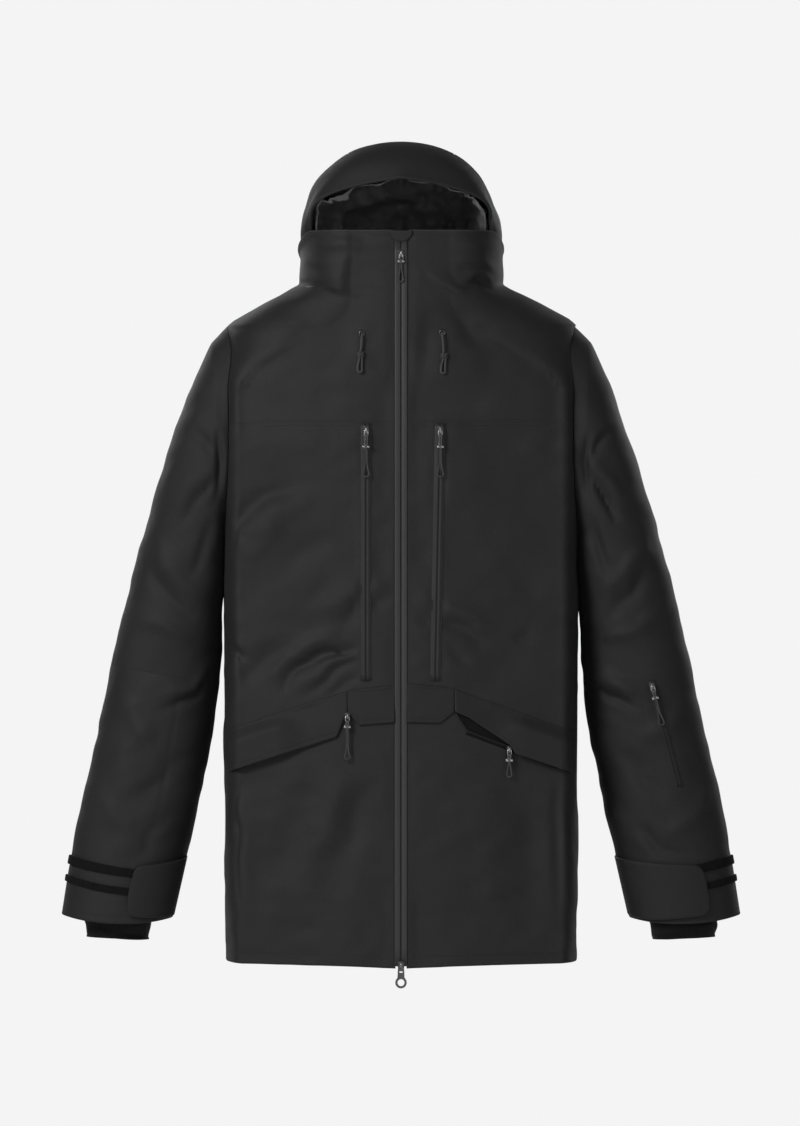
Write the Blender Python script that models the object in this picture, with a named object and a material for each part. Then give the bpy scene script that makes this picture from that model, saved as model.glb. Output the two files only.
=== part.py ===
"""Hooded ski jacket, modelled as a set of sewn panels, zips, pulls, flaps and cuffs.

X runs to the wearer's left, Y to the back and Z up. Every height below is measured from the centre front
hem and every depth from the middle of the body; the finished model is moved so that its origin is the
underside of the hang loop, which is where the jacket hangs.
"""

import bpy
import bmesh
from math import acos, copysign, cos, pi, radians, sin, sqrt
from mathutils import Matrix, Vector

for old in list(bpy.data.objects):
    bpy.data.objects.remove(old, do_unlink=True)

# Driving dimensions, in metres.
GAP = 0.0005
CLOTH = 0.003
ZIP_EDGE = 0.0066
HEM_RISE = 0.007
YOKE_SEAM = 0.6527
BACK_YOKE_SEAM = 0.620
NECK_SEAM = 0.8125
COLLAR_TOP = 0.8835
COLLAR_BACK = 0.825
NECK_BACK_Y = 0.097
FACE_EDGE_Y = -0.055
FRONT_Y = -0.128
FRONT_LEAN = 0.030
FACET_START = 0.062
FACET_END = 0.190
FACET_SLOPE = 0.15
ARMPIT = 0.500
SHOULDER_TIP = 0.770
ARMHOLE_DEPTH = 0.080
ARMHOLE_SETBACK = 0.006
SHOULDER_PIVOT = (0.2055, 0.7725)
ELBOW = 0.6
SLEEVE_ROUND = 2.2
LOOP_SEAT = Vector((0.0, 0.0775, 0.812))

HALF_WIDTH = (
    (0.0, 0.2105), (0.35, 0.2125), (0.50, 0.2115), (0.65, 0.2090), (0.74, 0.2075), (0.76, 0.2055),
    (0.770, 0.2035), (0.776, 0.2010), (0.788, 0.1810), (0.80, 0.1600), (0.81, 0.1400), (0.82, 0.1225),
    (0.84, 0.1235), (0.868, 0.1235), (0.90, 0.1200),
)
BACK_DEPTH = (
    (0.0, 0.112), (0.30, 0.108), (0.60, 0.122), (0.70, 0.120), (0.76, 0.108), (0.8125, 0.095), (0.90, 0.099),
)

# Stations down the sleeve: outer edge x, z, inner edge x, z, half depth.
SLEEVE = (
    (0.2065, 0.770, 0.2135, 0.500, 0.080),
    (0.228, 0.750, 0.2140, 0.488, 0.080),
    (0.251, 0.704, 0.2142, 0.470, 0.079),
    (0.276, 0.632, 0.2145, 0.445, 0.077),
    (0.299, 0.560, 0.2150, 0.418, 0.074),
    (0.325, 0.464, 0.2155, 0.385, 0.070),
    (0.350, 0.361, 0.2185, 0.338, 0.067),
    (0.366, 0.280, 0.2270, 0.272, 0.064),
    (0.385, 0.200, 0.2440, 0.195, 0.061),
    (0.400, 0.120, 0.2615, 0.117, 0.059),
    (0.409, 0.062, 0.2750, 0.058, 0.058),
)
INNER_CUFF = (
    (0.3820, 0.112, 0.2930, 0.106, 0.042),
    (0.3795, 0.058, 0.3005, 0.055, 0.038),
    (0.3745, 0.034, 0.3130, 0.031, 0.030),
)

# Centre-back profile of the hood, from the brim edge over the top to the neck: y, z.
HOOD_TOP = (
    (-0.118, 0.9475), (-0.103, 0.970), (-0.070, 0.987), (-0.020, 0.992), (0.040, 0.985),
    (0.090, 0.965), (0.125, 0.932), (0.138, 0.893), (0.127, 0.855), (0.0985, 0.8268),
)
HOOD_ROUND = 2.2
FACE_CORNER_X = 0.108
BRIM_END = 0.24
CROWN_HALF_ANGLE = radians(30)


def mix(a, b, f):
    return a + (b - a) * f


def ramp(pairs, v):
    """Straight-line reading of a short list of (position, value) pairs."""
    if v <= pairs[0][0]:
        return pairs[0][1]
    for (v0, a), (v1, b) in zip(pairs, pairs[1:]):
        if v <= v1:
            return mix(a, b, (v - v0) / (v1 - v0))
    return pairs[-1][1]


def smooth_step(lo, hi, v):
    f = min(1.0, max(0.0, (v - lo) / (hi - lo)))
    return f * f * (3 - 2 * f)


def power(v, exponent):
    return copysign(abs(v) ** exponent, v)


# Body surface. q is 0 at the centre front, +-0.5 at the sides and +-1 at the centre back.
FRONT_Q = 0.12
SIDE_Q = 0.30


def front_y(z):
    return FRONT_Y + FRONT_LEAN * z


def section(z):
    """Facet start, facet end, front and back roundness of the body at a height."""
    f = smooth_step(0.69, 0.80, z)
    return mix(FACET_START, 0.03, f), mix(FACET_END, 0.06, f), mix(2.5, 2.0, f), mix(3.0, 2.0, f)


def body_point(q, z, inset=0.0):
    side, q = copysign(1.0, q), abs(q)
    x1, x2, round_front, round_back = section(z)
    w = ramp(HALF_WIDTH, z) - inset
    yf = front_y(z) + inset
    corner_y = yf + FACET_SLOPE * (x2 - x1)
    if q <= FRONT_Q:
        x, y = x1 * q / FRONT_Q, yf
    elif q <= SIDE_Q:
        x = mix(x1, x2, (q - FRONT_Q) / (SIDE_Q - FRONT_Q))
        y = yf + FACET_SLOPE * (x - x1)
    elif q <= 0.5:
        a = pi / 2 * (q - SIDE_Q) / (0.5 - SIDE_Q)
        x = x2 + (w - x2) * sin(a) ** (2 / round_front)
        y = corner_y * max(0.0, cos(a)) ** (2 / round_front)
    else:
        b = pi * (1 - q)
        x = w * sin(b) ** (2 / round_back)
        y = (ramp(BACK_DEPTH, z) - inset) * max(0.0, cos(b)) ** (2 / round_back)
    return Vector((side * x, y, z))


def armhole_half_depth(z):
    middle, reach = (ARMPIT + SHOULDER_TIP) / 2, (SHOULDER_TIP - ARMPIT) / 2
    return ARMHOLE_DEPTH * sqrt(max(0.0, 1 - ((z - middle) / reach) ** 2))


def front_edge_q(z):
    """Where a front panel stops: at the side seam, or at the armhole."""
    x1, x2, round_front, _ = section(z)
    corner_y = abs(front_y(z) + FACET_SLOPE * (x2 - x1))
    a = acos((armhole_half_depth(z) / corner_y) ** (round_front / 2))
    return mix(SIDE_Q, 0.5, a / (pi / 2)) - 0.002


def back_edge_q(z):
    round_back = section(z)[3]
    b = acos((armhole_half_depth(z) / ramp(BACK_DEPTH, z)) ** (round_back / 2))
    return 1 - 0.5 * b / (pi / 2) + 0.002


def front_surface_y(x, z):
    """Depth of the flat front of the body, for pieces sewn on it."""
    return front_y(z) + FACET_SLOPE * max(0.0, abs(x) - FACET_START)


def cut_height(y):
    """Height of the seam between collar and hood."""
    f = max(0.0, (y - FACE_EDGE_Y) / (NECK_BACK_Y - FACE_EDGE_Y))
    return mix(COLLAR_TOP, COLLAR_BACK, f)


# Sleeve surface. a is 0 at the front, 90 degrees at the outer edge and 180 at the back.
def station(table, t):
    k = min(len(table) - 1.001, max(0.0, t * (len(table) - 1)))
    i = int(k)
    return [mix(table[i][n], table[i + 1][n], k - i) for n in range(5)]


def tube_point(table, side, t, a, lift=0.0, setback=0.0):
    ox, oz, ix, iz, depth = station(table, t)
    outer, inner = Vector((ox, 0, oz)), Vector((ix, 0, iz))
    half = (outer - inner) / 2
    point = (outer + inner) / 2 + half.normalized() * (half.length + lift) * power(sin(a), 2 / SLEEVE_ROUND)
    point.y = -(depth + lift) * power(cos(a), 2 / SLEEVE_ROUND)
    point.x -= setback * max(0.0, 1 - t / 0.15) * abs(cos(a)) ** 1.5
    return Vector((side * point.x, point.y, point.z))


def sleeve_point(side, t, a, lift=0.0):
    return tube_point(SLEEVE, side, t, a, lift, ARMHOLE_SETBACK)


def sleeve_front_y(x, z):
    """Depth of the front of the sleeve under a point seen from the front."""
    lo, hi = 0.0, 1.0
    for _ in range(30):
        t = (lo + hi) / 2
        ox, oz, ix, iz, depth = station(SLEEVE, t)
        on_line = mix(iz, oz, (abs(x) - ix) / (ox - ix))
        lo, hi = (t, hi) if on_line > z else (lo, t)
    across = (abs(x) - (ox + ix) / 2) / ((ox - ix) / 2)
    a = acos(min(1.0, abs(across)) ** (SLEEVE_ROUND / 2))
    return -depth * sin(a) ** (2 / SLEEVE_ROUND)


# Hood surface. s runs from the brim edge (0) to the back of the neck (1), psi from side to side.
def along(points, s):
    """Smooth curve through a few (y, z) points, read at a share of its point count."""
    k = min(len(points) - 1.0001, max(0.0, s * (len(points) - 1)))
    i = int(k)
    f = k - i
    p0, p1, p2 = points[max(0, i - 1)], points[i], points[i + 1]
    p3 = points[min(len(points) - 1, i + 2)]
    return [
        0.5 * (2 * b + (c - a) * f + (2 * a - 5 * b + 4 * c - d) * f * f + (3 * b - a - 3 * c + d) * f**3)
        for a, b, c, d in zip(p0, p1, p2, p3)
    ]


def face_corner_q():
    lo, hi = SIDE_Q, 0.5
    for _ in range(30):
        q = (lo + hi) / 2
        lo, hi = (q, hi) if body_point(q, COLLAR_TOP).x < FACE_CORNER_X else (lo, q)
    return q


def hood_point(s, psi, inset=0.0):
    q = mix(face_corner_q(), 0.5, min(1.0, s / 0.7))
    base = body_point(q, COLLAR_TOP)
    base.z = cut_height(base.y) + GAP
    top_y, top_z = along(HOOD_TOP, s)
    top = Vector((0, top_y, top_z))
    centre = Vector((0, 0.01, 0.86))
    top += (centre - top).normalized() * inset
    exponent = 2 / mix(HOOD_ROUND, 2.0, smooth_step(0.6, 1.0, s))
    rise = max(0.0, cos(psi)) ** exponent
    x = (base.x - inset) * power(sin(psi), exponent)
    return Vector((x, mix(base.y, top.y, rise), mix(base.z, top.z, rise)))


# Builders.
def material(name, colour, roughness, metallic=0.0):
    made = bpy.data.materials.new(name)
    made.use_nodes = True
    shader = made.node_tree.nodes["Principled BSDF"]
    shader.inputs["Base Color"].default_value = (*colour, 1.0)
    shader.inputs["Roughness"].default_value = roughness
    shader.inputs["Metallic"].default_value = metallic
    return made


FABRIC = (0.024, 0.024, 0.024)
TRIM = (0.012, 0.012, 0.012)
TAPE = (0.04, 0.04, 0.04)
METAL = (0.09, 0.09, 0.095)
LOOKS = {
    "shell": (FABRIC, 0.7, 0.0), "lining": (TRIM, 0.45, 0.0), "trim": (TRIM, 0.85, 0.0),
    "tape": (TAPE, 0.55, 0.0), "cord": (TRIM, 0.8, 0.0), "metal": (METAL, 0.35, 0.9),
}


def add_object(name, bm, look, joint=None):
    """Store a mesh as an object; a moving piece gets its origin on its joint's axis."""
    bmesh.ops.recalc_face_normals(bm, faces=bm.faces)
    mesh = bpy.data.meshes.new(name)
    bm.to_mesh(mesh)
    bm.free()
    obj = bpy.data.objects.new(name, mesh)
    bpy.context.scene.collection.objects.link(obj)
    mesh.materials.append(material(name, *LOOKS[look]))
    if joint is not None:
        mesh.transform(Matrix.Translation(-joint))
        obj.location = joint
    obj.location -= LOOP_SEAT
    return obj


def skin(name, outer, inner, look, joint=None, ring=False):
    """Thin closed solid between two grids of points; ring joins the last column to the first."""
    bm = bmesh.new()
    grids = [[[bm.verts.new(p) for p in row] for row in grid] for grid in (outer, inner)]
    rows, cols = len(outer), len(outer[0])
    spans = [(c, (c + 1) % cols) for c in range(cols if ring else cols - 1)]
    for grid in grids:
        for r in range(rows - 1):
            for c, d in spans:
                bm.faces.new((grid[r][c], grid[r][d], grid[r + 1][d], grid[r + 1][c]))
    a, b = grids
    for r in (0, rows - 1):
        for c, d in spans:
            bm.faces.new((a[r][c], a[r][d], b[r][d], b[r][c]))
    if not ring:
        for c in (0, cols - 1):
            for r in range(rows - 1):
                bm.faces.new((a[r][c], a[r + 1][c], b[r + 1][c], b[r][c]))
    return add_object(name, bm, look, joint)


def grid(point, rows, cols):
    return [[point(r, c) for c in cols] for r in rows]


def plate(name, loops, lifts, look, surface=None, joint=None, frame=None):
    """Flat piece cut to an outline (with holes), between two distances in front of a surface."""
    bm = bmesh.new()
    for loop in loops:
        verts = [bm.verts.new((x, 0, z)) for x, z in loop]
        for v, w in zip(verts, verts[1:] + verts[:1]):
            bm.edges.new((v, w))
    bmesh.ops.triangle_fill(bm, use_beauty=True, edges=bm.edges[:])
    back = list(bm.verts)
    made = bmesh.ops.extrude_face_region(bm, geom=bm.faces[:])
    front = {v for v in made["geom"] if isinstance(v, bmesh.types.BMVert)}
    for v in back + list(front):
        lift = lifts[1] if v in front else lifts[0]
        v.co.y = -lift
        if frame is not None:
            v.co = frame @ v.co
        if surface is not None:
            v.co.y += surface(v.co.x, v.co.z)
    return add_object(name, bm, look, joint)


# Body panels.
def rows_between(low, high, marks):
    return [low] + [m for m in marks if low < m < high] + [high]


def hem_height(q, z):
    """The hem rises a little towards the sides."""
    return z + HEM_RISE * sin(pi * abs(q)) * max(0.0, 1 - z / 0.10)


# Heights where a panel gets a row of points, closest together at the ends of the armhole.
PANEL_MARKS = (
    0.10, 0.22, 0.36, 0.5, 0.502, 0.508, 0.52, 0.545, 0.58, 0.62, 0.66, 0.70, 0.73, 0.75, 0.762, 0.768,
    0.770, 0.776, 0.788, 0.80,
)


def front_piece(name, side, low, high):
    def point(inset):
        def at(z, c):
            edge = front_edge_q(z)
            start = FRONT_Q * ZIP_EDGE / section(z)[0]
            q = (start, FRONT_Q, SIDE_Q, mix(SIDE_Q, edge, 0.4), mix(SIDE_Q, edge, 0.75), edge)[c]
            made = body_point(side * q, hem_height(q, z), inset)
            if c == 0:
                made.x = side * ZIP_EDGE
            return made
        return at
    rows = rows_between(low, high, PANEL_MARKS)
    return skin(name, grid(point(0), rows, range(6)), grid(point(CLOTH), rows, range(6)), "shell")


def back_piece(name, low, high):
    def point(inset):
        def at(z, c):
            f = abs(c) / 5
            q = mix(1.0, back_edge_q(z), f) if c else 1.0
            return body_point(copysign(q, c or 1), hem_height(q, z), inset)
        return at
    rows = rows_between(low, high, PANEL_MARKS)
    return skin(name, grid(point(0), rows, range(-5, 6)), grid(point(CLOTH), rows, range(-5, 6)), "shell")


def wrap_q(f, start):
    """Runs from the left front edge round the back to the right front edge."""
    q = mix(start, 2 - start, f)
    return q if q <= 1 else q - 2


def body_band(name, low, high, inset, thickness, start, columns, look):
    """Lining-like band inside the body, open at the front."""
    cols = [k / columns for k in range(columns + 1)]

    def point(depth):
        return lambda z, f: body_point(wrap_q(f, start), z, depth)
    rows = rows_between(low, high, (0.12, 0.24, 0.36))
    return skin(name, grid(point(inset), rows, cols), grid(point(inset + thickness), rows, cols), look)


def collar():
    start = FRONT_Q * ZIP_EDGE / 0.03
    cols = [k / 28 for k in range(29)]

    def point(depth):
        def at(t, f):
            q = wrap_q(f, start)
            z = NECK_SEAM + GAP
            for _ in range(4):
                z = mix(NECK_SEAM + GAP, cut_height(body_point(q, z).y) - GAP, t)
            made = body_point(q, z, depth)
            if f in (0.0, 1.0):
                made.x = copysign(ZIP_EDGE, q)
            return made
        return at
    rows = (0, 0.25, 0.5, 0.75, 1)
    return skin("collar", grid(point(0), rows, cols), grid(point(CLOTH), rows, cols), "shell")


def hood_piece(name, s_low, s_high, psi_low, psi_high, inset, thickness, steps, look):
    pivot = Vector((0, HOOD_TOP[-1][0] + 0.001, HOOD_TOP[-1][1]))
    rows = [mix(s_low, s_high, k / steps[0]) for k in range(steps[0] + 1)]
    cols = [mix(psi_low, psi_high, k / steps[1]) for k in range(steps[1] + 1)]

    def point(depth):
        return lambda s, psi: hood_point(s, psi, depth)
    outer, inner = grid(point(inset), rows, cols), grid(point(inset + thickness), rows, cols)
    return skin(name, outer, inner, look, pivot)


def hood():
    seam = 0.004
    edge = pi / 2
    hood_piece("hood_brim", 0, BRIM_END - seam, -edge, edge, 0, CLOTH, (3, 18), "shell")
    hood_piece("hood_centre", BRIM_END, 1, -CROWN_HALF_ANGLE, CROWN_HALF_ANGLE, 0, CLOTH, (9, 6), "shell")
    turn = radians(0.5)
    hood_piece("hood_side_left", BRIM_END, 1, CROWN_HALF_ANGLE + turn, edge, 0, CLOTH, (9, 6), "shell")
    hood_piece("hood_side_right", BRIM_END, 1, -edge, -CROWN_HALF_ANGLE - turn, 0, CLOTH, (9, 6), "shell")
    hood_piece("hood_lining", 0.02, 0.98, -edge, edge, 0.006, 0.0015, (9, 14), "lining")


# Sleeves. Places along a sleeve are shares of its length, and places round it are angles.
RING = [2 * pi * k / 20 for k in range(20)]
STRIP_HEIGHTS = (("upper", 0.905), ("lower", 0.938))
STRIP_WIDTH = 0.009
STRIP_ENDS = (radians(-40), radians(115))
STRIP_LIFTS = (0.0006, 0.0024)
TAB_START = -pi / 2 + 0.10
TAB_END = {"right": radians(-5), "left": radians(25)}
TAB_EDGES = (0.895, 0.994)
TAB_LIFTS = (0.0032, 0.0062)


def arm_tube(name, side, t_low, t_high, steps, joint):
    rows = [mix(t_low, t_high, k / steps) for k in range(steps + 1)]
    outer = grid(lambda t, a: sleeve_point(side, t, a), rows, RING)
    inner = grid(lambda t, a: sleeve_point(side, t, a, -CLOTH), rows, RING)
    return skin(name, outer, inner, "shell", joint, ring=True)


def cuff_patch(name, side, t_of, a_low, a_high, lifts, columns, look, joint):
    """Strip of material wrapped on the outside of a cuff; t_of gives its edges at each angle."""
    cols = [mix(a_low, a_high, k / columns) for k in range(columns + 1)]

    def point(lift):
        return lambda e, a: sleeve_point(side, t_of(e, a), a, lift)
    return skin(name, grid(point(lifts[0]), (0, 1), cols), grid(point(lifts[1]), (0, 1), cols), look, joint)


def shoulder_pivot(side):
    return Vector((side * SHOULDER_PIVOT[0], 0, SHOULDER_PIVOT[1]))


def elbow_pivot(side):
    ox, oz, ix, iz, depth = station(SLEEVE, ELBOW)
    return Vector((side * (ox + ix) / 2, -depth - 0.002, (oz + iz) / 2))


def tab_pivot(side):
    return sleeve_point(side, 0.94, TAB_START, mix(*TAB_LIFTS, 0.43))


def sleeve(side, word):
    elbow = elbow_pivot(side)
    arm_tube(f"sleeve_{word}", side, 0, ELBOW - 0.001, 8, shoulder_pivot(side))
    arm_tube(f"forearm_{word}", side, ELBOW + 0.001, 1, 5, elbow)
    rows = (0, 0.25, 0.5, 0.75, 1)
    cuff = [grid(lambda t, a: tube_point(INNER_CUFF, side, t, a, lift), rows, RING) for lift in (0, -0.002)]
    skin(f"inner_cuff_{word}", *cuff, "trim", elbow, ring=True)
    # Hook-and-loop strips run from under the tab to beyond the outer edge, and rise a little on the way.
    for level, t in STRIP_HEIGHTS:
        def strip_t(e, a):
            return t + STRIP_WIDTH * e - 0.010 * sin(a)
        name = f"cuff_strip_{level}_{word}"
        cuff_patch(name, side, strip_t, *STRIP_ENDS, STRIP_LIFTS, 18, "trim", elbow)
    tab_end = TAB_END[word]

    def tab_t(e, a):
        f = (a + pi / 2) / (tab_end + pi / 2)
        return mix(TAB_EDGES[0] + 0.012 * f, TAB_EDGES[1] - 0.022 * max(0.0, f - 0.5), e)
    cuff_patch(f"cuff_tab_{word}", side, tab_t, TAB_START, tab_end, TAB_LIFTS, 11, "shell", tab_pivot(side))


# Zips and pulls.
def strip_outline(top, bottom, half_width):
    (x0, z0), (x1, z1) = top, bottom
    return [(x0 - half_width, z0), (x0 + half_width, z0), (x1 + half_width, z1), (x1 - half_width, z1)]


def slant_outline(start, end, half_width):
    (x0, z0), (x1, z1) = start, end
    return [(x0, z0 - half_width), (x0, z0 + half_width), (x1, z1 + half_width), (x1, z1 - half_width)]


def arc_outline(centre, radius, start, end, steps):
    turns = [mix(start, end, k / steps) for k in range(steps + 1)]
    return [(centre[0] + radius * cos(turn), centre[1] + radius * sin(turn)) for turn in turns]


def fork_outline(length, body, loop_width):
    """Outline and hole of a pull: forked head, winged body, cord stem and end loop; hinge at the origin."""
    right = [(0.0014, 0.0008), (0.0028, 0.0008), (0.0030, -0.0040), (0.0022, -0.0052), (0.0031, -0.0075),
             (0.0029, -body + 0.001), (0.0015, -body - 0.0015)]
    stem_end = -length + loop_width * 2.4
    right += [(0.0013, stem_end), (loop_width * 0.5, stem_end - loop_width * 0.7)]
    low = arc_outline((0, -length + loop_width * 0.5), loop_width * 0.5, 0, -pi, 6)
    left = [(-x, z) for x, z in reversed(right)]
    notch = [(-0.0014, -0.0030), (0.0014, -0.0030)]
    inner = loop_width * 0.5 - 0.0016
    hole = [(0, stem_end - loop_width * 0.35), (inner, stem_end - loop_width * 0.8)]
    hole += arc_outline((0, -length + loop_width * 0.5), inner, 0, -pi, 6)
    hole += [(-inner, stem_end - loop_width * 0.8)]
    return [right + low[0:] + left + notch, hole]


def ring_pull_outline(length):
    """Outline and holes of the bottom pull: forked neck with a slot, and a finger ring."""
    radius = 0.0069
    centre = (0, -length + radius)
    neck = [(0.0014, 0.0008), (0.0034, 0.0008), (0.0040, -0.0060), (0.0042, centre[1] + 0.0062)]
    low = arc_outline(centre, radius, radians(40), radians(-220), 16)
    left = [(-x, z) for x, z in reversed(neck)]
    notch = [(-0.0014, -0.0030), (0.0014, -0.0030)]
    slot = [(-0.0018, -0.0078), (0.0018, -0.0078), (0.0018, -0.0062), (-0.0018, -0.0062)]
    finger = arc_outline(centre, 0.0042, 0, 2 * pi * 11 / 12, 11)
    return [neck + low + left + notch, slot, finger]


SLIDER_BODY = 0.0030
SLIDER_HEIGHT = 0.0056
HINGE_LIFT = 0.0044
PULL_HALF_THICKNESS = 0.0010


def zip_runner(word, place, surface, lift, size, pull_loops, tilt=0.0):
    """Slider on a tape and the pull hinged on its bail."""
    x, z = place
    y = surface(x, z)
    base = Vector((x, y - lift, z))
    hinge = Vector((x, y - lift - HINGE_LIFT, z))
    turn = Matrix.Rotation(tilt, 4, "Y")
    w, h = size[0] / 2, size[1] / 2
    right = [(w * 0.7, h), (w, h * 0.7), (w, 0), (w * 0.7, -h)]
    outline = right + [(-a, b) for a, b in reversed(right)]
    bm = bmesh.new()
    levels = ((0, 1, 1), (SLIDER_BODY, 1, 1), (SLIDER_BODY, 0.22, 0.30), (SLIDER_HEIGHT, 0.22, 0.30))
    rings = [[bm.verts.new((a * nx, -d, b * nz)) for a, b in outline] for d, nx, nz in levels]
    bm.faces.new(rings[0])
    for low, high in zip(rings, rings[1:]):
        for k in range(len(outline)):
            j = (k + 1) % len(outline)
            bm.faces.new((low[k], low[j], high[j], high[k]))
    bm.faces.new(list(reversed(rings[-1])))
    bm.transform(Matrix.Translation(base) @ turn)
    add_object(f"{word}_slider", bm, "metal", base)
    frame = Matrix.Translation(hinge) @ turn
    lifts = (-PULL_HALF_THICKNESS, PULL_HALF_THICKNESS)
    plate(f"{word}_pull", pull_loops, lifts, "metal", joint=hinge, frame=frame)


PATCH_LIFTS = (0.0005, 0.0020)
TAPE_LIFTS = (0.0005, 0.0013)
RUNNER_LIFT = 0.0026
MAIN_ZIP_LOW = 0.003
MAIN_ZIP_HIGH = 0.862
MAIN_SLIDER = (0.0095, 0.0125)


def main_zip():
    low, high = MAIN_ZIP_LOW, MAIN_ZIP_HIGH
    for side, word in ((-1, "right"), (1, "left")):
        inner, outer = side * 0.0003, side * 0.0060
        loop = [(inner, low), (outer, low), (outer, high), (inner, high)]
        plate(f"main_zip_{word}", [loop], (-CLOTH, -0.0012), "tape", front_surface_y)
    half = arc_outline((0, 0.8828), 0.0135, pi, 2 * pi, 10)
    plate("zip_garage", [half], PATCH_LIFTS, "shell", front_surface_y)
    top_pull = fork_outline(0.0335, 0.010, 0.0075)
    zip_runner("main_zip_top", (0, 0.8540), front_surface_y, -GAP, MAIN_SLIDER, top_pull)
    zip_runner("main_zip_bottom", (0, 0.0035), front_surface_y, -GAP, MAIN_SLIDER, ring_pull_outline(0.0265))


CHEST_ZIPS = (
    ("right", (-0.0417, 0.6520), (-0.0417, 0.3440)),
    ("left", (0.0472, 0.6520), (0.0412, 0.3440)),
)


def chest_zips():
    for word, top, bottom in CHEST_ZIPS:
        outline = strip_outline(top, bottom, 0.0062)
        plate(f"chest_zip_{word}", [outline], TAPE_LIFTS, "tape", front_surface_y)
        place = (mix(top[0], bottom[0], 0.03), 0.6430)
        pull = fork_outline(0.0560, 0.021, 0.0085)
        zip_runner(f"chest_zip_{word}", place, front_surface_y, RUNNER_LIFT, (0.0080, 0.0120), pull)


FLAP_LIFTS = (0.0105, 0.0130)
POCKETS = {
    "right": {
        "flap": [
            (-0.1990, 0.2880), (-0.0632, 0.3326), (-0.0655, 0.3110), (-0.0785, 0.2755), (-0.1990, 0.2360),
        ],
        "tab": [
            (-0.0600, 0.3330), (-0.0144, 0.3384), (-0.0085, 0.3384), (-0.0085, 0.2940), (-0.0492, 0.2904),
            (-0.0600, 0.3010),
        ],
        "zip": ((-0.0628, 0.3016), (-0.1880, 0.2616)), "rest": 0.011, "pull": 0.0520,
    },
    "left": {
        "flap": [
            (0.0632, 0.3340), (0.1990, 0.2870), (0.1990, 0.2350), (0.1385, 0.2552), (0.1350, 0.2640),
            (0.0804, 0.3000), (0.0640, 0.3065),
        ],
        "tab": [
            (0.0085, 0.3408), (0.0492, 0.3372), (0.0600, 0.3345), (0.0600, 0.3040), (0.0468, 0.2928),
            (0.0085, 0.2940),
        ],
        "zip": ((0.0628, 0.2845), (0.1880, 0.2389)), "rest": 0.5335, "pull": 0.0330,
    },
}


def hand_pockets():
    for word, facts in POCKETS.items():
        outer_top = max(facts["flap"][:2], key=lambda p: abs(p[0]))
        y = front_surface_y(*outer_top)
        pivot = Vector((outer_top[0], y - FLAP_LIFTS[0], outer_top[1] + 0.0006))
        plate(f"flap_{word}", [facts["flap"]], FLAP_LIFTS, "shell", front_surface_y, pivot)
        plate(f"pocket_tab_{word}", [facts["tab"]], PATCH_LIFTS, "shell", front_surface_y)
        start, end = facts["zip"]
        outline = slant_outline(start, end, 0.0060)
        plate(f"hand_zip_{word}", [outline], TAPE_LIFTS, "tape", front_surface_y)
        place = (mix(start[0], end[0], facts["rest"]), mix(start[1], end[1], facts["rest"]))
        pull = fork_outline(facts["pull"], 0.014, 0.0075)
        zip_runner(f"hand_zip_{word}", place, front_surface_y, RUNNER_LIFT, (0.0070, 0.0100), pull)


def sleeve_pocket():
    outline = strip_outline((0.2995, 0.3440), (0.3335, 0.2170), 0.0060)
    plate("sleeve_zip", [outline], TAPE_LIFTS, "tape", sleeve_front_y, elbow_pivot(1))
    pull = fork_outline(0.0480, 0.016, 0.0080)
    zip_runner("sleeve_zip", (0.3015, 0.3365), sleeve_front_y, 0.0032, (0.0075, 0.0110), pull, -radians(14))


# Cords and small pieces.
def cord(name, points, diameter, look):
    curve = bpy.data.curves.new(name, "CURVE")
    curve.dimensions = "3D"
    curve.bevel_depth = diameter / 2
    curve.bevel_resolution = 2
    curve.use_fill_caps = True
    spline = curve.splines.new("POLY")
    spline.points.add(len(points) - 1)
    for point, place in zip(spline.points, points):
        point.co = (*place, 1)
    obj = bpy.data.objects.new(name, curve)
    bpy.context.scene.collection.objects.link(obj)
    curve.materials.append(material(name, *LOOKS[look]))
    obj.location = -LOOP_SEAT
    return obj


CORD = 0.0026
CORD_LIFT = 0.0032
EYELET_RADII = (0.0042, 0.0019)
# x and height of the eyelet, where the cord comes out, of the knot and of the end of the loop.
DRAWCORDS = {
    "right": ((-0.0468, -0.0482, -0.0492), (0.7590, 0.7340, 0.7120)),
    "left": ((0.0492, 0.0516, 0.0504), (0.7602, 0.7326, 0.7104)),
}


def drawcords():
    for word, (xs, zs) in DRAWCORDS.items():
        def hang(x, z):
            return Vector((x, front_surface_y(x, z) - CORD_LIFT, z))
        rings = [arc_outline((xs[0], zs[0]), radius, 0, 2 * pi * 11 / 12, 11) for radius in EYELET_RADII]
        plate(f"drawcord_eyelet_{word}", rings, (0.0004, 0.0014), "metal", front_surface_y)
        top, bottom = zs[0] - 0.0002, zs[1] + CORD_LIFT
        route = [hang(mix(xs[0], xs[1], k / 6), mix(top, bottom, k / 6)) for k in range(7)]
        cord(f"drawcord_{word}", route, CORD, "cord")
        loop_drop = zs[1] - zs[2]
        outline = [(0.0024, 0.0024), (0.0030, -0.0006), (0.0016, -0.0030), (0.0036, -0.0110)]
        outline += arc_outline((0, -loop_drop + 0.0036), 0.0036, 0, -pi, 8)
        outline += [(-x, z) for x, z in reversed(outline[:4])]
        hole = [(0, -0.0065), (0.0012, -0.0110)] + arc_outline((0, -loop_drop + 0.0036), 0.0012, 0, -pi, 6)
        hole += [(-0.0012, -0.0110)]
        frame = Matrix.Translation(hang(xs[1], zs[1]))
        plate(f"drawcord_loop_{word}", [outline, hole], (-0.0012, 0.0012), "cord", frame=frame)


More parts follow.
